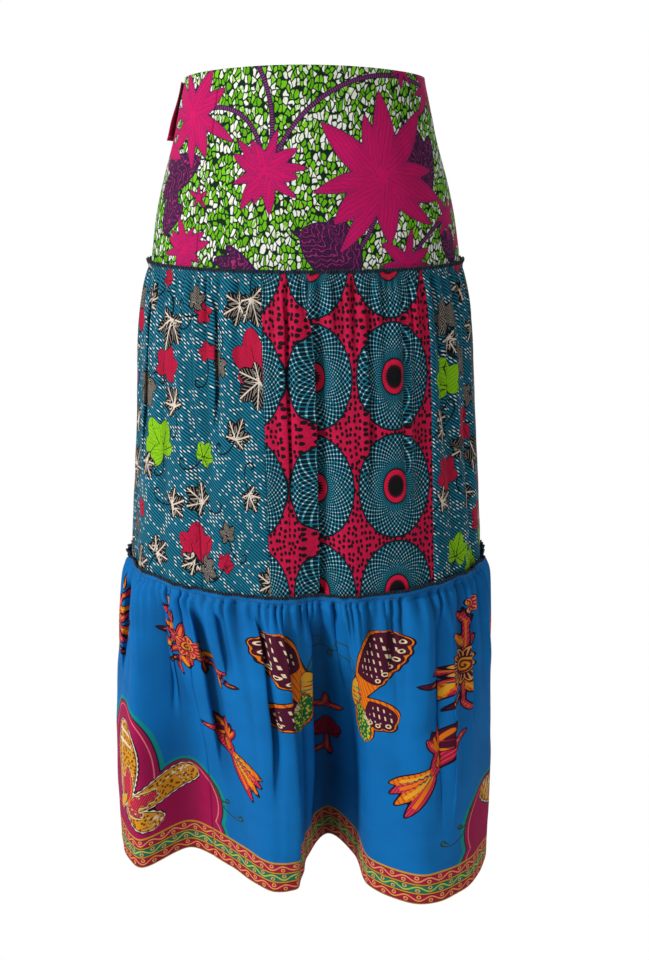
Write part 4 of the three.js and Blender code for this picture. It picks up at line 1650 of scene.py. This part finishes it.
    def _bands(self, bench: Bench, u: Value, v: Value, colour: Socket) -> Socket:
        """Lays the three vine bands of the hem over a colour."""
        up = v - self.motifs.hem
        bands = (
            (1.5, 13.5, "#a9163c", "#f09a54"),
            (15.5, 26.0, "#0b7a66", "#c8cc3c"),
            (28.0, 39.5, "#b01844", "#f0a060"),
        )
        colour = bench.mix(1 - up.step(41.8, 42.4), colour, "#d89a2c")
        for number, (low, high, code, vine_code) in enumerate(bands):
            band = up.between(low - 0.3, low + 0.3, high - 0.3, high + 0.3)
            middle = 0.5 * (low + high)
            swing = ((u + 11 * number) * (TURN / self.wave)).sine() * 3.0
            vine = 1 - abs(up - middle - swing).step(0.7, 1.3)
            half = self.wave / 2
            spot_u = (((u + 11 * number) / half).fract() - 0.5) * half * 1.5
            spot_v = up - middle + swing * 0.8
            spot = (spot_u * spot_u + spot_v * spot_v).math("SQRT")
            flower = spot.between(1.2, 1.6, 2.5, 3.0)
            tint = bench.mix(flower, code, "#f2a860")
            tint = bench.mix(vine, tint, vine_code)
            rims = (1 - up.step(low + 0.4, low + 1.0)).most(up.step(high - 1.0, high - 0.4))
            tint = bench.mix(rims, tint, "#1c1020")
            colour = bench.mix(band, colour, tint)
        return colour


@dataclass(frozen=True)
class PlainCotton(Cotton):
    """Plain dyed cotton."""

    code: str = "#c2125f"
    hem_u: float = 32.0
    hem_v: float = -65.0

    def ground(self, bench: Bench, u: Value, v: Value) -> Socket:
        """Returns the dye's colour, a little cloudy, with a line of stitches in its hems."""
        cloud = bench.noise(bench.vector(u, v), 0.2)
        colour = bench.mix(cloud * 0.3, self.code, "#8a0c48")
        side = (1 - abs(u - self.hem_u).step(0.35, 0.6)) * (v * (TURN / 3)).sine().step(-0.5, 0)
        foot = (1 - abs(v - self.hem_v).step(0.35, 0.6)) * (u * (TURN / 3)).sine().step(-0.5, 0)
        return bench.mix(side.most(foot), colour, "#f0a0c0")


@dataclass(frozen=True)
class Thread:
    """Spun sewing thread."""

    name: str
    code: str

    def build(self) -> bpy.types.Material:
        """Makes the material, with a little unevenness in its dye."""
        bench = Bench(self.name)
        place = bench.node("ShaderNodeTexCoord").outputs["Object"]
        cloud = bench.noise(place, 900.0, 2.0)
        colour = bench.mix(cloud, self.code, "#05080d")
        bench.tree.links.new(colour, bench.shader.inputs["Base Color"])
        bench.shader.inputs["Roughness"].default_value = 0.6
        bench.shader.inputs["Sheen Weight"].default_value = 0.2
        return bench.material


# Pieces
def outward(surface: Surface, c: Array, level: Array, step: float) -> Array:
    """Returns which way is out from a surface.

    Args:
        surface: The surface.
        c: Shares of the turn.
        level: Levels below the waist.
        step: How far apart round it the two places lie that its slope is taken from.

    Returns:
        A direction of length 1 for each place.
    """
    round_ = surface(c + step, level) - surface(c - step, level)
    down = surface(c, level + 0.2) - surface(c, level - 0.2)
    normal = np.cross(down, round_)
    return normal / np.maximum(np.linalg.norm(normal, axis=1, keepdims=True), 1e-12)


@dataclass
class ClothPiece:
    """One cut piece of a tier.

    It runs from start to end, as shares of the turn, on a grid of columns and rows. Its
    grain line is an angle, and hidden is how much cloth lies under its fold.
    """

    node: str
    slot: str
    start: float
    end: float
    columns: int
    rows: int
    grain: float = 0.0
    hidden: float = 0.0

    @property
    def name(self) -> str:
        """Returns the name of its cloth."""
        return self.node + "_cloth"


@dataclass
class Tier:
    """A band of cut pieces on one surface."""

    form: SkirtForm
    surface: Surface
    top: float
    bottom: float
    pieces: tuple[ClothPiece, ...]
    finishes: dict[str, tuple[bpy.types.Material, Any]]
    crowd: float = 1.25
    thickness: float = 0.9
    seam_dip: float = 0.7
    seam_gap: float = 0.15
    seam_reach: float = 1.6
    row_crowd: float = 1.15
    foot_band: float = 30.0
    gap_girth: float = 1100.0
    seam_girth: float = 1150.0
    print_scale: float = 1.0
    dense: Rows = ()

    def cloth_u(self, piece: ClothPiece, c: Array, level: Array) -> Array:
        """Returns how far round the print each place lies, in millimetres."""
        raise NotImplementedError

    def sag(self, c: Array, level: Array) -> Array:
        """Returns how far below their levels the tier's places hang."""
        return self.form.sag(level, 360 * c)

    def spread(self, piece: ClothPiece, share: Array) -> Array:
        """Moves a grid's even columns closer together where the cloth folds over.

        Args:
            piece: The piece.
            share: Even places across it, from 0 to 1.

        Returns:
            The c of each of them.
        """
        start, end = piece.start + self.gap_share(), piece.end - self.gap_share()
        table = np.linspace(start, end, 4001)
        crowd = np.ones_like(table)
        for centre, width, gain in self.dense:
            apart = np.mod(table - centre + 0.5, 1) - 0.5
            crowd += gain * np.exp(-((apart / width) ** 2))
        way = np.concatenate([[0], np.cumsum(0.5 * (crowd[1:] + crowd[:-1]))])
        return np.interp(share, way / way[-1], table)

    def gap_share(self) -> float:
        """Returns half a seam gap as a share of a turn."""
        return self.seam_gap / self.gap_girth

    def build(self) -> list[bpy.types.Object]:
        """Makes, dresses and attaches every piece of the tier."""
        made = []
        for piece in self.pieces:
            made.append(self._piece(piece))
            log.info("%s: %d x %d", piece.name, piece.columns, piece.rows)
        return made

    def _piece(self, piece: ClothPiece) -> bpy.types.Object:
        """Makes one piece from a grid laid on the tier's surface."""
        mesh = grid_mesh(piece.name, piece.columns, piece.rows, 0.5)
        count = len(mesh.vertices)
        flat = np.zeros(3 * count, np.float32)
        mesh.vertices.foreach_get("co", flat)
        grid = flat.reshape(-1, 3).astype(float) + 0.5
        c = self.spread(piece, grid[:, 0])
        level = self.top + (self.bottom - self.top) * (1 - grid[:, 1]) ** self.row_crowd
        place, normal = self.surface(c, level), outward(self.surface, c, level, 1e-4)
        shade = self._shade(place, normal, grid, piece)
        place = self._dip(place, normal, grid[:, 0], piece)
        mesh.vertices.foreach_set("co", place.astype(np.float32).ravel())
        u, v = self.cloth_u(piece, c, level), -level - self.sag(c, level)
        self._lay_cloth(mesh, u * MM, v * MM)
        self._print(mesh, piece, u, v)
        # The first and last numbers of this attribute are the painted shade of folds and valleys;
        # the middle one is the way down from the tier's top edge
        self._write(mesh, "lie", (shade, level - self.top, shade))
        mesh.shade_smooth()
        mesh.materials.append(self.finishes[piece.slot][0])
        obj = placed(piece.name, mesh)
        shell = obj.modifiers.new("cloth thickness", "SOLIDIFY")
        shell.thickness = self.thickness * MM
        shell.offset = 0.0
        shell.use_even_offset = False
        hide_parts(piece.node)
        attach(obj, "root")
        return obj

    def _dip(self, place: Array, normal: Array, share: Array, piece: ClothPiece) -> Array:
        """Draws the cloth in a little beside the seams at a piece's two ends."""
        wide = (piece.end - piece.start) * self.seam_girth
        near = sum(np.exp(-((way * wide / self.seam_reach) ** 2)) for way in (share, 1 - share))
        return place - normal * (near * self.seam_dip * MM)[:, None]

    @staticmethod
    def _shade(place: Array, normal: Array, grid: Array, piece: ClothPiece) -> Array:
        """Returns how deep each place lies between its neighbours to both sides, up to 1: the
        painted shade that darkens the cloth's colour in folds, gathers and valleys.
        """
        order = np.lexsort((grid[:, 0], grid[:, 1]))
        shape = (piece.rows + 1, piece.columns + 1, 3)
        p, n = place[order].reshape(shape), normal[order].reshape(shape)
        column = np.arange(shape[1])
        total = np.zeros(shape[:2])
        for reach, weight in ((2, 0.12), (5, 0.07), (11, 0.035)):
            step = np.minimum(reach, np.minimum(column, shape[1] - 1 - column))
            middle = 0.5 * (p[:, column - step] + p[:, column + step])
            total += weight * np.maximum(0, ((middle - p) * n).sum(-1) / MM)
        shade = np.empty(len(place))
        shade[order] = (1 - np.exp(-total)).ravel()
        return shade

    @staticmethod
    def _write(mesh: bpy.types.Mesh, name: str, columns: tuple[Array, ...]) -> None:
        """Writes three numbers for each point as an attribute."""
        attribute = mesh.attributes.new(name, "FLOAT_VECTOR", "POINT")
        attribute.data.foreach_set("vector", np.stack(columns, -1).astype(np.float32).ravel())

    @staticmethod
    def _lay_cloth(mesh: bpy.types.Mesh, u: Array, v: Array) -> None:
        """Writes the cloth coordinates as the piece's UV map."""
        corner = np.zeros(len(mesh.loops), np.int32)
        mesh.loops.foreach_get("vertex_index", corner)
        layer = mesh.uv_layers.new(name="cloth")
        places = np.stack([u[corner], v[corner]], -1)
        layer.uv.foreach_set("vector", places.astype(np.float32).ravel())

    def _print(self, mesh: bpy.types.Mesh, piece: ClothPiece, u: Array, v: Array) -> None:
        """Draws the piece's print and writes its layers as attributes."""
        canvas = Canvas(u, v)
        motifs = self.finishes[piece.slot][1]
        motifs.draw(canvas)
        for letter, layers in zip("abcd", motifs.layers):
            starts = {"gap": OPEN, "side": OPEN, "tone": 0.0, "dotted": 0.0}
            columns = [
                canvas.layer(layer, starts.get(layer.split("_")[-1], FAR)) for layer in layers
            ]
            self._write(mesh, "print_" + letter, tuple(columns))


@dataclass
class Yoke(Tier):
    """The fitted yoke; its cloth is cut to the figure, so its print isn't crowded."""

    mean_width: float = 166.0
    grain_reach: float = 1.4

    def cloth_u(self, piece: ClothPiece, c: Array, level: Array) -> Array:
        """Returns the arc from the piece's grain line at the level's own size."""
        arc, grain = arc_share(360 * c), float(arc_share(np.array(piece.grain)))
        near = np.clip(arc, grain - self.grain_reach, grain + self.grain_reach)
        return self.form.half_width(level) * (near - grain) + self.mean_width * (arc - near + grain)


@dataclass
class MiddleTier(Tier):
    """The gathered middle tier: straight panels, wider than the ring they fill."""

    pleat_angle: float = 1.1
    pleat_reach: float = 0.9
    foot_width: float = 224.0

    def cloth_u(self, piece: ClothPiece, c: Array, level: Array) -> Array:
        """Returns the arc from the centre front at the tier's foot, let out."""
        start, end = self.pleat_angle - self.pleat_reach, self.pleat_angle + self.pleat_reach
        beyond = 1 - smooth_step(360 * c, start, end)
        return self.crowd * self.foot_width * arc_share(360 * c) - piece.hidden * beyond


@dataclass
class BottomTier(Tier):
    """The gathered bottom tier: straight panels, as wide as the hem is long."""

    def cloth_u(self, piece: ClothPiece, c: Array, level: Array) -> Array:
        """Returns the way along the hem from the centre front, in the print's measure."""
        centre = float(self.form.along_at(self.form.bottom_c(0)))
        return (self.form.along_at(c) - centre) * self.form.hem_length * self.print_scale

    def sag(self, c: Array, level: Array) -> Array:
        """Returns how far below their levels the tier's places hang."""
        return self.form.sag(level, self.form.angle_at(np.mod(c, 1)))


@dataclass
class Flap(Tier):
    """The loose flap that covers the top of the zip."""

    start: float = 256.6
    end: float = 274.5
    lift: float = 6.0

    def stand(self, c: Array, level: Array) -> Array:
        """Returns the flap's points, which stand off the yoke towards its free corner."""
        across = (360 * c - self.start) / (self.end - self.start)
        down = (level - self.top) / (self.bottom - self.top)
        curl = 0.5 * np.sin(9 * down + 2 * across) * across
        out = self.form.lap + self.lift * across**2 * (0.25 + 0.75 * down) + curl
        place = self.form.ring(level, 360 * c, out)
        return np.stack([place[..., 0], place[..., 1], -level], -1) * MM

    def cloth_u(self, piece: ClothPiece, c: Array, level: Array) -> Array:
        """Returns the arc from the edge that is sewn down."""
        sewn = float(arc_share(np.array(self.start)))
        return self.form.half_width(level) * (arc_share(360 * c) - sewn)


def arc_share(angle: Array) -> Array:
    """Returns the arc of the waist's oval from the front, over its half-width."""
    ratio = 0.745
    table = np.radians(np.arange(-400, 401))
    speed = np.hypot(np.cos(table), ratio * np.sin(table))
    way = np.concatenate([[0], np.cumsum(0.5 * (speed[1:] + speed[:-1]) * np.diff(table))])
    way -= np.interp(0, table, way)
    return np.interp(np.radians(angle), table, way)


# Sewing
@dataclass
class Sewing:
    """Thread laid on a tier: overlocking over its raw edge, and its gathering stitch."""

    name: str
    surface: Surface
    edge: float
    stitch: float
    length: float
    material: bpy.types.Material
    slot: str
    thickness: float = 0.4
    pitch: float = 2.8
    bite: float = 3.8
    loops: int = 12
    stitch_pitch: float = 4.2

    def build(self) -> bpy.types.Object:
        """Makes the threads as one mesh."""
        lines = [*self._overlock(), *self._stitches()]
        curve = bpy.data.curves.new(self.name, "CURVE")
        curve.dimensions = "3D"
        curve.bevel_depth = self.thickness * MM
        curve.bevel_resolution = 0
        curve.use_fill_caps = True
        for line in lines:
            spline = curve.splines.new("POLY")
            spline.points.add(len(line) - 1)
            data = np.hstack([line, np.ones((len(line), 1))])
            spline.points.foreach_set("co", data.astype(np.float32).ravel())
        source = placed(self.name + "_line", curve)
        depsgraph = bpy.context.evaluated_depsgraph_get()
        mesh = bpy.data.meshes.new_from_object(source.evaluated_get(depsgraph))
        bpy.data.objects.remove(source)
        mesh.name = self.name
        mesh.materials.clear()
        mesh.materials.append(self.material)
        obj = placed(self.name, mesh)
        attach(obj, "root")
        log.info("%s: %d faces", self.name, len(mesh.polygons))
        return obj

    def _beside(self, c: Array, level: Array, out: Array) -> Array:
        """Returns places on the cloth, moved out from it by some millimetres."""
        normal = outward(self.surface, c, level, 2e-4)
        return self.surface(c, level) + normal * (out * MM)[:, None]

    def _overlock(self) -> list[Array]:
        """Returns the loops that bind the raw edge, a stretch of them to a line."""
        count = int(self.length / self.pitch)
        lines = []
        shape = ((0.0, self.bite, 0.8), (0.3, 0.4, 0.9), (0.45, -0.5, 0.0), (0.6, 0.5, -0.8))
        for first in range(0, count, self.loops):
            number = np.arange(first, min(first + self.loops, count)).repeat(len(shape))
            part = np.tile(np.arange(len(shape)), len(number) // len(shape))
            step = np.array([shape[i][0] for i in part])
            down = np.array([shape[i][1] for i in part])
            out = np.array([shape[i][2] for i in part])
            sway = np.sin(number * 2.1) * 0.5 + np.sin(number * 0.73) * 0.4
            c = (number + step) / count
            lines.append(self._beside(c, self.edge + down + sway * (part == 0), out))
        return lines

    def _stitches(self) -> list[Array]:
        """Returns the stitches that hold the gathers, each a short line."""
        count = int(self.length / self.stitch_pitch)
        lines = []
        for i in range(count):
            c = (i + np.array([0.12, 0.5, 0.84])) / count
            sway = 0.7 * math.sin(0.31 * i) + 0.4 * math.sin(1.7 * i)
            level = np.full(3, self.stitch + sway)
            lines.append(self._beside(c, level, np.array([0.5, 0.85, 0.5])))
        return lines


# The skirt, and where it is seen
@dataclass
class Skirt:
    """The whole garment."""

    form: SkirtForm = field(default_factory=SkirtForm)
    left_seam: float = -41.0
    right_seam: float = 139.0
    zip_line: float = 256.0
    centre_start: float = -14.0
    centre_end: float = 45.0

    def build(self) -> None:
        """Makes the tiers from the waist down, then their sewing."""
        border = BorderCotton("border print cotton", roughness=0.74, sheen=0.0, bound=True)
        looks = {
            "crackle_print": (CrackleCotton("crackle print cotton"), CracklePrint()),
            "leaf_print": (LeafCotton("leaf print cotton", bound=True), LeafPrint()),
            "disc_print": (DiscCotton("disc print cotton", bound=True), PlainPrint()),
            "border_print": (border, BorderPrint()),
            "flap_cotton": (PlainCotton("flap cotton"), PlainPrint()),
        }
        finishes = {slot: (cotton.build(), motifs) for slot, (cotton, motifs) in looks.items()}
        for tier in (self._yoke, self._middle, self._bottom, self._flap):
            tier(finishes).build()
        thread = Thread("navy overlock thread", "#16283e").build()
        form = self.form
        for name, surface, seam, length, slot in (
            ("middle_tier_sewing", form.middle, form.yoke_end, 1090, "leaf_print"),
            ("bottom_tier_sewing", form.bottom, form.middle_end, 1260, "border_print"),
        ):
            Sewing(name, surface, seam - form.heading, seam, length, thread, slot).build()

    def _yoke(self, finishes: dict[str, tuple]) -> Yoke:
        """Returns the yoke."""
        left, right, zip_ = self.left_seam / 360, self.right_seam / 360, self.zip_line / 360
        slot = "crackle_print"
        pieces = (
            ClothPiece("yoke_front", slot, left, right, 220, 100),
            ClothPiece("yoke_back_right", slot, right - 1, zip_ - 1, 130, 84, grain=-162),
            ClothPiece("yoke_back_left", slot, zip_ - 1, left, 80, 104),
        )
        form = self.form
        return Yoke(form, form.yoke, 0, form.yoke_end + form.tuck, pieces, finishes, crowd=1.0)

    def _middle(self, finishes: dict[str, tuple]) -> MiddleTier:
        """Returns the middle tier."""
        left, right = self.left_seam / 360, self.right_seam / 360
        start, end = self.centre_start / 360, self.centre_end / 360
        slot = "leaf_print"
        pieces = (
            ClothPiece("middle_front_left", slot, left, start, 72, 160),
            ClothPiece("middle_front_centre", "disc_print", start, end, 170, 150, hidden=22),
            ClothPiece("middle_front_right", slot, end, right, 165, 150),
            ClothPiece("middle_back", slot, right - 1, left, 280, 120),
        )
        form = self.form
        top, foot = form.yoke_end - form.heading, form.middle_end + form.tuck
        dense = self._dense(form.middle_pleats, lambda angle: angle / 360, 1500, 1.8)
        return MiddleTier(form, form.middle, top, foot, pieces, finishes, crowd=1.22, dense=dense)

    def _bottom(self, finishes: dict[str, tuple]) -> BottomTier:
        """Returns the bottom tier."""
        form = self.form
        left, right = form.bottom_c(self.left_seam), form.bottom_c(self.right_seam)
        slot = "border_print"
        pieces = (
            ClothPiece("bottom_front", slot, left, right, 384, 124),
            ClothPiece("bottom_back", slot, right - 1, left, 340, 118),
        )
        dense = self._dense(form.bottom_pleats, form.bottom_c, 1700, 1.6)
        return BottomTier(
            form, form.bottom, form.middle_end - form.heading, form.hem, pieces, finishes,
            crowd=1.22, print_scale=2 / 3, dense=dense,
        )

    def _flap(self, finishes: dict[str, tuple]) -> Flap:
        """Returns the zip's flap."""
        piece = ClothPiece("zip_flap", "flap_cotton", Flap.start / 360, Flap.end / 360, 24, 40)
        form = self.form
        flap = Flap(form, form.yoke, 4, 69, (piece,), finishes, crowd=1.0, seam_dip=0.0)
        flap.surface = flap.stand
        return flap

    @staticmethod
    def _dense(
        pleats: tuple[Pleat, ...], place: Callable[[float], float], girth: float, gain: float
    ) -> Rows:
        """Returns where a tier's columns crowd at its pleats, how widely and how much."""
        return tuple((place(pleat.angle), pleat.half_width / girth, gain) for pleat in pleats)


@dataclass
class Studio:
    """A plain pale floor, soft light, and the camera at the viewing angle."""

    distance: float = 1.36
    height: float = -0.1197
    aside: float = 0.0228
    tilt: float = 15.0
    lens: float = 1100 / 960 * 36
    hem: float = -0.985
    floor_gap: float = 0.16
    daylight: float = 0.34

    def build(self) -> None:
        """Makes the floor, the lights and the camera."""
        bpy.context.scene.view_settings.view_transform = "Standard"
        self._floor()
        for name, energy, size, place in (
            ("key", 50, 0.5, (-1.9, -1.5, 0.75)),
            ("fill", 5, 1.6, (1.4, -2.4, 0.2)),
            ("back", 18, 1.6, (0.6, 2.2, 1.2)),
        ):
            self._light(name, energy, size, place)
        world = bpy.data.worlds.new("studio")
        world.use_nodes = True
        nodes, links = world.node_tree.nodes, world.node_tree.links
        seen = nodes.new("ShaderNodeLightPath").outputs["Is Camera Ray"]
        strength = nodes.new("ShaderNodeMath")
        strength.operation = "MULTIPLY_ADD"
        strength.inputs[1].default_value = 1 - self.daylight
        strength.inputs[2].default_value = self.daylight
        links.new(seen, strength.inputs[0])
        nodes["Background"].inputs[0].default_value = (1, 1, 1, 1)
        links.new(strength.outputs[0], nodes["Background"].inputs[1])
        bpy.context.scene.world = world
        self._camera()

    def _floor(self) -> None:
        """Makes a white floor below the hem, which the camera sees evenly lit."""
        mesh = grid_mesh("floor", 1, 1, 9)
        mesh.transform(Matrix.Translation((0, 0, self.hem - self.floor_gap)))
        bench = Bench("white floor")
        bench.shader.inputs["Base Color"].default_value = (0.8, 0.8, 0.8, 1)
        bench.shader.inputs["Roughness"].default_value = 0.9
        seen = bench.node("ShaderNodeLightPath").outputs["Is Camera Ray"]
        glow = bench.node("ShaderNodeEmission", sockets={1: 1.0})
        mixed = bench.node(
            "ShaderNodeMixShader", sockets={0: seen, 1: bench.shader.outputs[0], 2: glow.outputs[0]}
        )
        output = bench.tree.nodes["Material Output"]
        bench.tree.links.new(mixed.outputs[0], output.inputs["Surface"])
        mesh.materials.append(bench.material)
        placed("floor", mesh)

    @staticmethod
    def _light(name: str, energy: float, size: float, place: tuple[float, float, float]) -> None:
        """Makes one soft light that faces the skirt's middle."""
        data = bpy.data.lights.new(name, "AREA")
        data.energy = energy
        data.size = size
        light = placed(name, data)
        middle = Vector((0, 0, -0.5))
        light.location = place
        light.rotation_euler = (middle - Vector(place)).to_track_quat("-Z", "Y").to_euler()

    def _camera(self) -> None:
        """Makes the camera and looks through it."""
        data = bpy.data.cameras.new("camera")
        data.lens = self.lens
        data.sensor_width = 36
        camera = placed("camera", data)
        camera.location = (self.aside, -self.distance, self.height)
        camera.rotation_euler = (math.radians(90 - self.tilt), 0, 0)
        bpy.context.scene.camera = camera


def main() -> None:
    """Builds the studio and the skirt around the loaded frame."""
    logging.basicConfig(level=logging.INFO, format="%(message)s")
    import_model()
    Studio().build()
    Skirt().build()
    bpy.context.view_layer.update()


if __name__ == "__main__":
    main()
